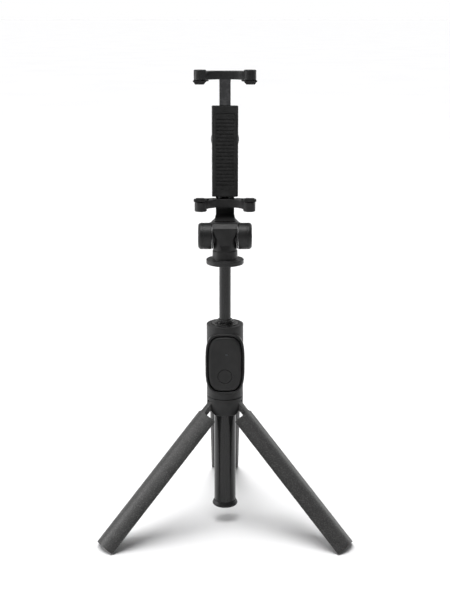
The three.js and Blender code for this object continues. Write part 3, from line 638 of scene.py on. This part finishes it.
def leg_hub():
    """A closed ring above three tabs, with a clevis slot between each pair."""
    bottom, top, ring_bottom = HUB_LOW.z, HUB_HIGH.z, 80.5
    ring = turned([
        (CORE_BORE_R, bottom), *arc(BODY_R - 0.5, bottom + 0.5, 0.5, -90, 0, 4),
        *arc(BODY_R - 0.25, top - 0.25, 0.25, 0, 90, 3), (CORE_BORE_R, top),
    ], 144)
    upper = prism("z", disc(BODY_R + 2, sides=24), ring_bottom, top + 1)
    tab = rounded([(-TAB_HALF, bottom, TAB_CORNER_R), (TAB_HALF, bottom, TAB_CORNER_R),
                   (TAB_HALF, ring_bottom + 1, 0), (-TAB_HALF, ring_bottom + 1, 0)], 14)
    tabs = [spun(prism("x", tab, 3, BODY_R + 1), azimuth) for azimuth in TAB_AZIMUTHS.values()]
    tools = []
    for azimuth in LEG_AZIMUTHS.values():
        slot = block(SLOT_FROM, BODY_R + 2, -SLOT_HALF, SLOT_HALF, BELOW_HUB, HINGE_Z + SLOT_ABOVE_HINGE)
        pin_bore = prism("y", disc(PIN_BORE_R, HINGE_U, HINGE_Z, 28), -PIN_BORE_HALF, PIN_BORE_HALF)
        tools += [spun(slot, azimuth), spun(pin_bore, azimuth)]
    for azimuth in TAB_AZIMUTHS.values():
        bore = prism("z", disc(SCREW_BORE_R, SCREW_U, 0, 28), BELOW_HUB, top + 1)
        head_bore = prism("z", disc(SCREW_HEAD_BORE_R, SCREW_U, 0, 32), BELOW_HUB, SCREW_HEAD_SEAT)
        tools += [spun(bore, azimuth), spun(head_bore, azimuth)]
    return cut(common(ring, join(upper, *tabs)), *tools)


def cross_recess(radius, depth, top):
    """The tool that cuts a screw's cross recess, pointing down from the given height."""
    arms = [block(-radius, radius, -radius / 3.4, radius / 3.4, top - depth, top + 1),
            block(-radius / 3.4, radius / 3.4, -radius, radius, top - depth, top + 1)]
    return join(*arms)


def pan_screw(head_r, head_height, shank_r, length):
    """A screw along +Z, its head's face at 0 and its tip at the given length."""
    ease = 0.35
    body = turned([
        (0, 0), (head_r - ease, 0), *arc(head_r - ease, ease, ease, -90, 0, 4), (head_r, head_height),
        (shank_r, head_height), (shank_r, length - 0.5), (shank_r * 0.5, length), (0, length),
    ], 48)
    return cut(body, spun(cross_recess(head_r * 0.62, 0.55, 0), 180, "X"))


def hinge_pin():
    half = (PIN_HIGH.x - PIN_LOW.x) / 2
    radius = (PIN_HIGH.z - PIN_LOW.z) / 2
    ease = 0.2
    return turned([
        (0, -half), (radius - ease, -half), (radius, -half + ease), (radius, half - ease),
        (radius - ease, half), (0, half)], 40)


def add_handle():
    show("handle_shell", handle_shell(), "handle", "black_plastic", edge=0.12)
    show("handle_bezel", handle_bezel(), "handle", "black_anodised")
    show("leg_hub", leg_hub(), "handle", "black_plastic", edge=0.22)
    for side, azimuth in TAB_AZIMUTHS.items():
        low, high = box_mm(f"hub_screw_{side}")
        screw = shifted(pan_screw(1.5, 1.1, 0.85, high.z - low.z), SCREW_U, 0, low.z)
        show(f"hub_screw_{side}", spun(screw, azimuth), "handle", "black_steel")


# ------------------------------------------------------------------ pole

LIP_HEIGHT = 1.2
COLUMN_LIP_R = 6.08
SECTION_LIPS = (5.28, 4.48, 3.64, 3.1)
WALL = 0.45


def column_tube():
    outer, inner = COLUMN_HIGH.x, COLUMN_HIGH.x - WALL
    bottom, top = COLUMN_LOW.z, COLUMN_HIGH.z
    return turned([
        (inner, bottom), (outer - 0.1, bottom), (outer, bottom + 0.1), (outer, top - 0.15),
        (outer - 0.15, top),
        (COLUMN_LIP_R, top), (COLUMN_LIP_R, top - LIP_HEIGHT), (inner, top - LIP_HEIGHT)], 128)


def column_cap():
    """The flared cap: a round lip that sweeps in to the tube, and a shallow dish underneath."""
    low, high = box_mm("column_cap")
    reach, groove_r = high.x, 6.95
    lip = 1.15
    return turned([
        (0, low.z + 0.35), (4.6, low.z + 0.35), (5.0, low.z),
        *arc(reach - lip, low.z + lip, lip, -90, 20, 10),
        (7.62, low.z + 2.15), (7.3, low.z + 2.6), (7.1, low.z + 3.1), (7.02, low.z + 3.4),
        (groove_r, low.z + 3.4), (groove_r, 12.7), (6.2, 12.7), (6.2, high.z), (0, high.z)], 128)


def pole_section(index):
    low, high = box_mm(f"pole_section_{index + 1}")
    outer, lip_r = high.x, SECTION_LIPS[index]
    inner = outer - WALL
    ease = 0.25
    profile = [(inner, low.z), (outer, low.z), *arc(outer - ease, high.z - ease, ease, 0, 90, 4)]
    if lip_r < inner:
        profile += [(lip_r + 0.15, high.z), (lip_r, high.z - 0.15), (lip_r, high.z - LIP_HEIGHT),
                    (inner, high.z - LIP_HEIGHT)]
    else:
        profile.append((inner, high.z))
    return turned(profile)


def add_pole():
    show("column_tube", column_tube(), "handle", "black_anodised")
    show("column_cap", column_cap(), "handle", "black_plastic")
    for index in range(len(SECTION_LIPS)):
        name = f"pole_section_{index + 1}"
        show(name, pole_section(index), f"section_{index + 1}", "black_anodised")


# ------------------------------------------------------------------ legs

LEG_OPEN = 45
LEG_LENGTH = 109.2
LEG_INNER_R = 9.3
LEG_HALF_ANGLE = 59.2
LEG_SHOULDER = 7.9
TONGUE_HALF = 2.0
EYE_R = 1.7
FOOT_CHORD = 3.65
FOOT_REACH = HINGE_Z / math.sin(math.radians(LEG_OPEN))
SHELL_LIFT = 0.3


def on_shell(radius, end):
    """The point at one of the shell's two straight edges, seen from above."""
    return arc(-HINGE_U, 0, radius, end * LEG_HALF_ANGLE, end * LEG_HALF_ANGLE, 1)[0]


def shell_sector(inner, bottom, top, ease=0.0):
    """A stretch of the round shell, drawn folded, with the hinge at the origin along Y."""
    def inset_angle(radius):
        return LEG_HALF_ANGLE - math.degrees(ease / radius)
    outer_edge, inner_edge = inset_angle(BODY_R), inset_angle(inner)
    shape = arc(-HINGE_U, 0, BODY_R, -outer_edge, outer_edge, 48)
    if ease:
        shape += [on_shell(BODY_R - ease, 1), on_shell(inner + ease, 1)]
    shape += arc(-HINGE_U, 0, inner, inner_edge, -inner_edge, 40)
    if ease:
        shape += [on_shell(inner + ease, -1), on_shell(BODY_R - ease, -1)]
    return prism("z", shape, bottom, top)


def shoulder_cutters():
    """What goes on each side of the tongue: a concave corner, then a rounded shoulder."""
    fillet, round_r = 2, 1.5
    reach = BODY_R * math.sin(math.radians(LEG_HALF_ANGLE))
    side = [
        (TONGUE_HALF, 4), *arc(TONGUE_HALF + fillet, fillet - LEG_SHOULDER, fillet, 180, 270, 10),
        *arc(reach - round_r, -LEG_SHOULDER - round_r, round_r, 90, 0, 10),
        (reach + 2, -LEG_SHOULDER - round_r), (reach + 2, 4)]
    return [prism("x", side, -12, 4), prism("x", mirrored(side), -12, 4)]


def under_floor(reach):
    """Everything below the slanted plane that passes the given distance under the hinge."""
    return prism("y", [(-20, 20 - reach), (-20, -reach - 20), (20, -reach - 20)], -15, 15)


def score_line():
    """The fine joint round the shell, a little above its foot."""
    height, depth, width = 5.6 - LEG_LENGTH, 0.12, 0.22
    ring = turned([(BODY_R - depth, 0), (BODY_R + 1, 0), (BODY_R + 1, width), (BODY_R - depth, width)], 144)
    return shifted(ring, -HINGE_U, 0, height)


def leg_shell():
    shell = cut(shell_sector(LEG_INNER_R, -LEG_LENGTH, EYE_R + 1, 0.35), *shoulder_cutters())
    below = cut(shell, block(-12, 4, -12, 12, 4 - LEG_SHOULDER, 8))
    side = [(3, -12), (3, 0), *arc(0, 0, EYE_R, 0, 180, 20), (-1.3, -8), (-0.2, -12)]
    tongue = common(shell_sector(BODY_R - 3.6, -13, EYE_R + 1),
                    prism("y", side, -TONGUE_HALF, TONGUE_HALF))
    lift = SHELL_LIFT / math.sin(math.radians(LEG_OPEN))
    eye = prism("y", disc(0.95, sides=32), -4, 4)
    return cut(join(below, tongue), eye, under_floor(FOOT_REACH - lift), score_line())


def foot_pad():
    """A rubber plug in the shell's end, its sole grooved across."""
    half_chord, radius, length = 5.5, 9.1, 8
    corner = math.degrees(math.atan2(7.6, 4.75))
    chord = FOOT_CHORD - HINGE_U
    shape = [(chord, half_chord), (chord, -half_chord), *arc(-HINGE_U, 0, radius, -corner, corner, 36)]
    plug = prism("z", shape, -LEG_LENGTH, length - LEG_LENGTH)
    plug = cut(plug, under_floor(FOOT_REACH))
    grooves = []
    for step in range(3):
        out = chord + 1.6 + 1.7 * step
        drop = -FOOT_REACH - out
        tool = block(-0.25, 0.25, -15, 15, -0.35, 0.5)
        spun(tool, LEG_OPEN, "Y")
        grooves.append(shifted(tool, out, 0, drop))
    return cut(plug, *grooves)


def open_leg(made, azimuth):
    """Swings a folded leg's piece open about its hinge and turns it to its side."""
    spun(made, -LEG_OPEN, "Y")
    shifted(made, HINGE_U, 0, HINGE_Z)
    return spun(made, azimuth)


def add_legs():
    for side, azimuth in LEG_AZIMUTHS.items():
        body = f"leg_{side}"
        show(f"leg_shell_{side}", open_leg(leg_shell(), azimuth), body, "coated_metal", edge=0.2)
        show(f"foot_pad_{side}", open_leg(foot_pad(), azimuth), body, "black_rubber", edge=0.15)
        pin = spun(hinge_pin(), 90, "X")
        name = f"hinge_pin_{side}"
        show(name, spun(shifted(pin, HINGE_U, 0, HINGE_Z), azimuth), body_of(name), "bright_steel")


# ------------------------------------------------------------------ head

HEAD_LOW, HEAD_HIGH = box_mm("pole_head")
BOLT_LOW, BOLT_HIGH = box_mm("tilt_bolt")
YOKE_HIGH = box_mm("tilt_yoke")[1]
TILT_Z = (BOLT_LOW.z + BOLT_HIGH.z) / 2
FLANGE_TOP = 171.9
POST_FOOT_R, POST_FOOT_TOP = 7.6, 176.8
POST_R = 7.1
POST_FLAT = 6.3
POST_FLARE_FROM, POST_FLARE_TO, POST_FLARE_R, POST_SHOULDER = 181, 190, 9.4, 191.4
BELOW_HEAD = 168
KNUCKLE_R = 9.9
CAP_SEAT_R = 3.9
PIVOT_EYE_R = 8.5
EAR_R = 8.0
EAR_IN = 8.1
EAR_OUT = 13.2
EAR_SEAT = 10.3
BOLT_BORE_R = 2.15
NECK_HALF = 5.65
ARM_FRONT, ARM_BACK = 18.9, YOKE_HIGH.y
PIVOT_Z = YOKE_HIGH.z - PIVOT_EYE_R
PIVOT_R = 5.0


def pole_head():
    """Flange and round post, which flares to a top that is flat on all four sides."""
    low, top, reach = HEAD_LOW.z, HEAD_HIGH.z, HEAD_HIGH.x
    round_form = turned([
        (0, low), (reach - 0.6, low), *arc(reach - 0.6, low + 0.6, 0.6, -90, 0, 4)[1:],
        *arc(reach - 0.35, FLANGE_TOP - 0.35, 0.35, 0, 90, 4), (POST_FOOT_R + 0.3, FLANGE_TOP),
        *arc(POST_FOOT_R + 0.3, FLANGE_TOP + 0.3, 0.3, 270, 180, 4)[1:], (POST_FOOT_R, POST_FOOT_TOP),
        (7.5, POST_FOOT_TOP + 0.4), (7.2, POST_FOOT_TOP + 0.8), (POST_R, POST_FOOT_TOP + 1),
        (POST_R, 180.2), (7.25, 182), (7.75, 184.5),
        (POST_FLARE_R, POST_FLARE_TO), (POST_FLARE_R, top), (0, top),
    ], 144)
    side = rounded([
        (-13, BELOW_HEAD, 0), (13, BELOW_HEAD, 0), (13, POST_FOOT_TOP, 0), (7.7, POST_FOOT_TOP, 0),
        (POST_FLAT, POST_FLARE_FROM, 2), (POST_FLAT, POST_SHOULDER, 1.2), (2.5, top, 3), (-2.5, top, 3),
        (-POST_FLAT, POST_SHOULDER, 1.2), (-POST_FLAT, POST_FLARE_FROM, 2), (-7.7, POST_FOOT_TOP, 0),
        (-13, POST_FOOT_TOP, 0)], 8)
    above = POST_FOOT_TOP + 1
    front = rounded([
        (-13, BELOW_HEAD, 0), (13, BELOW_HEAD, 0), (13, above, 0), (POST_R, above, 0), (POST_R, top + 1, 0),
        (-POST_R, top + 1, 0), (-POST_R, above, 0), (-13, above, 0)])
    form = common(round_form, prism("x", side, -14, 14), prism("y", front, -14, 14))
    bosses = prism("x", disc(5.2, 0, TILT_Z, 64), -POST_R, POST_R)
    bore = prism("x", disc(BOLT_BORE_R, 0, TILT_Z, 40), -12, 12)
    seat_r, seat_top, neck_r, neck_top, nut_r, nut_top = 5.6, 172.9, 1.85, 175.7, 2.85, 177.9
    seat = turned([
        (0, low - 1), (seat_r, low - 1), (seat_r, seat_top), (neck_r, seat_top), (neck_r, neck_top),
        (nut_r, neck_top), (nut_r, nut_top), (0, nut_top)], 64)
    return cut(join(form, bosses), bore, seat)


def tilt_washer(side):
    low, high = box_mm(f"tilt_washer_{side}")
    radius = (high.z - low.z) / 2
    ring = soft_prism("x", lambda inset: disc(radius - inset, 0, TILT_Z, 96), low.x, high.x, 0.1, 3)
    return cut(ring, prism("x", disc(BOLT_BORE_R, 0, TILT_Z, 40), low.x - 1, high.x + 1))


def tilt_yoke():
    """Two ears on the tilt bolt, joined over and behind the post to the arm behind the phone."""
    half = [(NECK_HALF, 72, 0), (NECK_HALF, 9.6, 3), (6.4, 7.5, 1), (8.8, 5.7, 2), (11.5, 5.2, 0),
            (11.5, -9, 0)]
    front = prism("y", rounded([*mirrored(half), *half], 8), -1, ARM_BACK + 1)
    arm_top = PIVOT_Z - TILT_Z
    side = rounded([
        (0, 0, 0), (7.5, 2.7, 0), (16, 6.2, 2), (20.5, 9, 2), (ARM_BACK, 15, 4), (ARM_BACK, arm_top, 0),
        (ARM_FRONT, arm_top, 0), (ARM_FRONT, 13.4, 2), (17, 10.6, 1), (14, 8.8, 1.5), (10, 7.6, 1),
        (0, 7.6, 0)], 6)
    fork = common(front, prism("x", side, -12, 12))
    knuckle_room = prism("x", disc(KNUCKLE_R, sides=96), -EAR_IN, EAR_IN)
    post_room = block(-EAR_IN, EAR_IN, -12, 8.1, -12, HEAD_HIGH.z + 12 - TILT_Z)
    web = cut(fork, knuckle_room, post_room)
    ears = []
    for end in (-1, 1):
        low, high = sorted((end * EAR_IN, end * EAR_OUT))
        ears.append(soft_prism("x", lambda inset: disc(EAR_R - inset, sides=96), low, high, 0.12, 3))
    seats = [prism("x", disc(CAP_SEAT_R, sides=48), *sorted((end * EAR_SEAT, end * 15))) for end in (-1, 1)]
    bore = prism("x", disc(BOLT_BORE_R, sides=40), -15, 15)
    eye = soft_prism(
        "y", lambda inset: disc(PIVOT_EYE_R - inset, 0, arm_top, 96), ARM_FRONT, ARM_BACK, 0.5, 4)
    pivot_bore = prism("y", disc(PIVOT_R + 0.25, 0, arm_top, 72), ARM_FRONT - 1, ARM_BACK + 1)
    return shifted(cut(join(web, *ears, eye), bore, *seats, pivot_bore), z=TILT_Z)


def ear_cap(end):
    """A cap over the end of the tilt barrel, gently crowned with a round edge."""
    crown = [(radius, 2.9 - 0.15 * (radius / 5.9) ** 2) for radius in (5.9, 4.4, 2.9, 1.4)]
    cap = turned([
        (0, -1.1), (3.6, -1.1), (3.6, -0.19), (EAR_R - 0.1, -0.19), (EAR_R, -0.09), (EAR_R, 0.8),
        *arc(EAR_R - 2.0, 0.8, 2.0, 0, 78, 9), *crown, (0, 2.9)], 112)
    return shifted(spun(cap, end * 90, "Y"), end * (EAR_OUT + 0.25), 0, TILT_Z)


def add_head():
    show("pole_head", pole_head(), "head", "black_plastic", edge=0.22)
    show("tilt_yoke", tilt_yoke(), "yoke", "black_plastic", edge=0.25)
    for side, end in (("left", -1), ("right", 1)):
        show(f"ear_cap_{side}", ear_cap(end), "yoke", "black_plastic")
        washer = f"tilt_washer_{side}"
        show(washer, tilt_washer(side), body_of(washer), "slide_plastic")


# ------------------------------------------------------------------ clamp

SPINE_LOW, SPINE_HIGH = box_mm("clamp_spine")
PAD_LOW, PAD_HIGH = box_mm("spine_pad")
UPPER_JAW_LOW, UPPER_JAW_HIGH = box_mm("upper_jaw")
LOWER_JAW_HIGH = box_mm("lower_jaw")[1]
TONGUE_LOW, TONGUE_HIGH = box_mm("slide_tongue")
PAD_THICKNESS = 0.65
PRONG_X, PRONG_Y, PRONG_R = 14.7, 4.75, 3.7
JAW_BAR_HEIGHT = 4.9
PRONG_HEIGHT = 6.0
JAW_HOLLOW_R = 12.0
JAW_BACK = UPPER_JAW_HIGH.y
SPINE_BACK = 18.0
TONGUE_FRONT, TONGUE_BACK = TONGUE_LOW.y, TONGUE_HIGH.y
TONGUE_HALF_WIDTH = 3.4
SPRING_Y = 15.8


def jaw_outline(inset=0.0):
    """The bar seen from above: round ends, a hollow front and a bevelled back."""
    radius, hollow = PRONG_R - inset, JAW_HOLLOW_R + inset
    inner = math.degrees(math.atan2(PRONG_Y, PRONG_X - PRONG_R))
    start = inner + math.degrees(inset / JAW_HOLLOW_R)
    right = [
        *arc(PRONG_X, PRONG_Y, radius, 180, 360, 24), (PRONG_X + radius, 8.6 - inset / 2),
        (17.9 - inset, 10.2 - inset / 2), (10.4 - inset / 2, 17.2 - inset),
        (8.6 - inset / 4, JAW_BACK - inset)]
    left = [(-x, y) for x, y in reversed(right)]
    hollow_arc = arc(0, 0, hollow, 180 - start, start, 48)[1:-1]
    return right + left + hollow_arc


def prong(low, high):
    ease = 0.55
    form = turned([
        (0, low), *arc(PRONG_R - ease, low + ease, ease, -90, 0, 5),
        *arc(PRONG_R - ease, high - ease, ease, 0, 90, 5), (0, high)], 72)
    return form


def jaw(face, side):
    """A cross bar with an upright prong at each end; it reaches from its face to the given side."""
    bar_low, bar_high = sorted((face, face + side * JAW_BAR_HEIGHT))
    prong_low, prong_high = sorted((face, face + side * PRONG_HEIGHT))
    bar = soft_prism("z", jaw_outline, bar_low, bar_high, 0.45, 4)
    prongs = [shifted(prong(prong_low, prong_high), end * PRONG_X, PRONG_Y) for end in (-1, 1)]
    return join(bar, *prongs)


def lower_jaw():
    face = LOWER_JAW_HIGH.z
    bores = []
    for x in (-3, 3):
        bores.append(prism("z", disc(1.0, x, SPRING_Y, 24), 195, face + 2))
        bores.append(prism("z", disc(1.75, x, SPRING_Y, 32), 195, box_mm("jaw_screw_left")[0].z + 1.4))
    return cut(jaw(face, -1), *bores)


def upper_jaw():
    gap = 0.2
    face = UPPER_JAW_LOW.z
    slot = block(-TONGUE_HALF_WIDTH - gap, TONGUE_HALF_WIDTH + gap, TONGUE_FRONT - gap, TONGUE_BACK + gap,
                 face - 1, TONGUE_HIGH.z + gap)
    return cut(jaw(face, 1), slot)


def jaw_pad(grip, side, end):
    """Rubber facing on one end of a jaw: ribbed, with a lip that hooks over the phone's edge."""
    sheet = rounded([(11.4, 0.8, 0.8), (18.9, 0.8, 1.6), (18.9, 8.8, 1), (16.4, 11.1, 0.3),
                     (9.6, 11.1, 0.3), (10.9, 6.6, 1)])
    lip = rounded([(11.1, 0, 0), (18.6, 0, 0), (17.5, -1.6, 0.5), (12.4, -1.6, 0.5)])
    plan = rounded([(10.9, 0.8, 0.8), (18.9, 0.8, 1.6), (18.9, 6, 0), (10.9, 6, 0)])
    hook = common(prism("y", lip, 0.8, 3.8), prism("z", plan, -3, 0.5))
    pad = join(prism("z", sheet, 0, PAD_THICKNESS), shifted(hook, z=0.2))
    ribs = [block(8, 20, 4.9 + 1.1 * step, 5.3 + 1.1 * step, -1, 0.18) for step in range(5)]
    pad = cut(pad, *ribs)
    matrix = Matrix.Translation((0, 0, grip)) @ Matrix.Diagonal((end, 1, side, 1))
    return tidy_normals(moved(pad, matrix))


def clamp_spine():
    """A flat hollow box with two grooves down its back, and the turret on which the clamp turns."""
    half, front, bottom, top = SPINE_HIGH.x, SPINE_LOW.y, SPINE_LOW.z, SPINE_HIGH.z
    body = soft_prism("z", lambda inset: rectangle(inset - half, half - inset, front + inset,
                                                   SPINE_BACK - inset, 1.2, 8), bottom, top, 0.5, 4)
    turret = prism("y", disc(PIVOT_R, 0, PIVOT_Z, 96), SPINE_BACK - 0.4, ARM_BACK - 0.05)
    inner_half, inner_front, inner_back, inner_bottom, inner_top = 6.9, 14.5, 17.1, 209.5, 259
    mouth_half = 3.7
    cavity = block(-inner_half, inner_half, inner_front, inner_back, inner_bottom, inner_top)
    mouth = block(-mouth_half, mouth_half, inner_front, inner_back, inner_top - 1, top + 1)
    pilot = prism("y", disc(1.3, 0, PIVOT_Z, 24), SPINE_BACK + 0.4, ARM_BACK + 1)
    bores = [prism("z", disc(1.0, x, SPRING_Y, 24), bottom - 1, 209.2) for x in (-3, 3)]
    flutes = [prism("z", disc(0.45, x, SPINE_BACK + 0.18, 24), bottom + 4, top - 4)
              for x in (-6.4, 6.4)]
    return cut(join(body, turret), cavity, mouth, pilot, *bores, *flutes)


def spine_pad():
    front, back, bottom, top = PAD_LOW.y, PAD_HIGH.y, PAD_LOW.z, PAD_HIGH.z
    half = PAD_HIGH.x
    middle = (bottom + top) / 2
    sheet = soft_prism("y", lambda inset: rectangle(inset - half, half - inset, bottom + inset, top - inset,
                                                    2, 8), front, back, 0.2, 3, (True, False))
    grooves = [block(-half + 1, half - 1, front - 1, front + 0.3, middle + 2.2 * step - 0.4,
                     middle + 2.2 * step + 0.4) for step in range(-9, 10)]
    return cut(sheet, *grooves)


def slide_tongue():
    wing_half, wing_top = TONGUE_HIGH.x, 234.5
    blade = block(-TONGUE_HALF_WIDTH, TONGUE_HALF_WIDTH, TONGUE_FRONT, TONGUE_BACK,
                  TONGUE_LOW.z, TONGUE_HIGH.z)
    wings = block(-wing_half, wing_half, TONGUE_FRONT, TONGUE_BACK, TONGUE_LOW.z, wing_top)
    return join(blade, wings)


def pivot_cap():
    cap = turned([
        (1.4, 0.2), (7.4, 0.2), (7.4, 0.7), *arc(6.6, 0.7, 0.8, 0, 90, 6), (2.9, 1.5), (2.6, 1.35),
        (2.5, 1.1), (2.5, 0.8), (1.4, 0.8)], 112)
    return shifted(spun(cap, -90, "X"), 0, ARM_BACK, PIVOT_Z)


def pivot_screw():
    screw = pan_screw(2.25, 0.85, 1.1, 4.4)
    return shifted(spun(screw, 90, "X"), 0, ARM_BACK + 1.8, PIVOT_Z)


def clamp_spring(end):
    """An open coil spring from the spine's foot up to the tongue's wing."""
    low, high = box_mm("clamp_spring_right")
    wire, turns, steps, around = 0.2, 13, 18, 8
    radius = (high.x - low.x) / 2 - wire
    count = turns * steps
    vertices = []
    for k in range(count + 1):
        angle = 2 * math.pi * k / steps
        height = low.z + wire + (high.z - low.z - 2 * wire) * k / count
        for j in range(around):
            turn = 2 * math.pi * j / around
            reach = radius + wire * math.cos(turn)
            vertices.append((reach * math.cos(angle) + end * (low.x + high.x) / 2,
                             reach * math.sin(angle) + (low.y + high.y) / 2, height + wire * math.sin(turn)))
    faces = [tuple(range(around)), tuple(range(count * around, (count + 1) * around))]
    for k in range(count):
        for j in range(around):
            here, beside = k * around + j, k * around + (j + 1) % around
            faces.append((here, beside, beside + around, here + around))
    return solid(vertices, faces)


def add_springs():
    """The springs: finished on the clamp's body, then loosed from every body and fixed where they stand in
    the frame.
    """
    for side, end in (("left", -1), ("right", 1)):
        name = f"clamp_spring_{side}"
        spring = show(name, clamp_spring(end), "clamp", "bright_steel")
        spring.parent = None
        spring.modifiers.clear()
        del spring["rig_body"]
        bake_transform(spring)


def add_clamp():
    show("clamp_spine", clamp_spine(), "clamp", "black_plastic", edge=0.15)
    show("spine_pad", spine_pad(), "clamp", "black_rubber", edge=0.08)
    show("lower_jaw", lower_jaw(), "clamp", "black_plastic", edge=0.12)
    show("upper_jaw", upper_jaw(), "moving_jaw", "black_plastic", edge=0.12)
    show("slide_tongue", slide_tongue(), "moving_jaw", "black_steel", edge=0.25)
    show("pivot_cap", pivot_cap(), "clamp", "black_plastic")
    show("pivot_screw", pivot_screw(), "clamp", "black_steel")
    upper_grip = UPPER_JAW_LOW.z - 0.25 - PAD_THICKNESS
    lower_grip = LOWER_JAW_HIGH.z + 0.25 + PAD_THICKNESS
    for side, end in (("left", -1), ("right", 1)):
        show(f"lower_pad_{side}", jaw_pad(lower_grip, -1, end), "clamp", "black_rubber", edge=0.08)
        show(f"upper_pad_{side}", jaw_pad(upper_grip, 1, end), "moving_jaw", "black_rubber", edge=0.08)
        low, high = box_mm(f"jaw_screw_{side}")
        screw = pan_screw(1.6, 1.2, 0.85, high.z - low.z)
        show(f"jaw_screw_{side}", shifted(screw, 3 * end, SPRING_Y, low.z), "clamp", "black_steel")
    add_springs()


# ------------------------------------------------------------------ remote control

def remote_front():
    """A cup with a soft front edge, holed for the button and the light."""
    split = REMOTE_HIGH.y
    cup = soft_prism("y", remote_outline, REMOTE_FRONT, split, REMOTE_EDGE, 9, (True, False))
    side_wall, front_wall = 1.5, 1
    hollow = prism("y", remote_outline(side_wall), REMOTE_FRONT + front_wall, split + 1)
    ease = 0.12
    bore = disc(BUTTON_R + 0.15, 0, BUTTON_Z, 96)
    mouth = disc(BUTTON_R + 0.15 + ease, 0, BUTTON_Z, 96)
    button_hole = loft("y", [
        (REMOTE_FRONT - 1, mouth), (REMOTE_FRONT, mouth), (REMOTE_FRONT + ease, bore), (-10, bore)])
    light_hole = prism("y", disc(LIGHT_R + 0.12, LIGHT_X, LIGHT_Z, 32), -14, -10)
    return cut(cup, hollow, button_hole, light_hole)


def shutter_button():
    """A flush round key, dished a little, on a flange and a short stem."""
    ease = 0.25
    dish = [(radius, 0.12 * (1 - (radius / 3.4) ** 2)) for radius in (1.2, 2.3, 3.4)]
    key = turned([
        (0, 0.12), *dish, *arc(BUTTON_R - ease, ease, ease, -90, 0, 4), (BUTTON_R, 1.15), (4.9, 1.15),
        (4.9, 1.4), (1.2, 1.4), (1.2, 1.55), (0, 1.55)], 96)
    return shifted(spun(key, -90, "X"), 0, REMOTE_FRONT, BUTTON_Z)


def status_light():
    low, high = box_mm("status_light")
    return soft_prism("y", lambda inset: disc(LIGHT_R - inset, LIGHT_X, LIGHT_Z, 32), low.y, high.y, 0.1, 3,
                      (True, False))


def add_remote():
    show("remote_front", remote_front(), "remote", "remote_plastic")
    show("shutter_button", shutter_button(), "button", "remote_plastic")
    show("status_light", status_light(), "remote", "light_pipe")


# ------------------------------------------------------------------ assembly

def dress_cad_nodes():
    """Gives every CAD node its slot's procedural material."""
    for entry in frame["record"]["subparts"]:
        node = frame["nodes"][entry["node"]]
        node.data.materials.clear()
        node.data.materials.append(finishes[entry["material_slot"]])


add_camera()
add_lights()
add_world()
add_floor()
dress_cad_nodes()
add_handle()
add_pole()
add_legs()
add_head()
add_clamp()
add_remote()
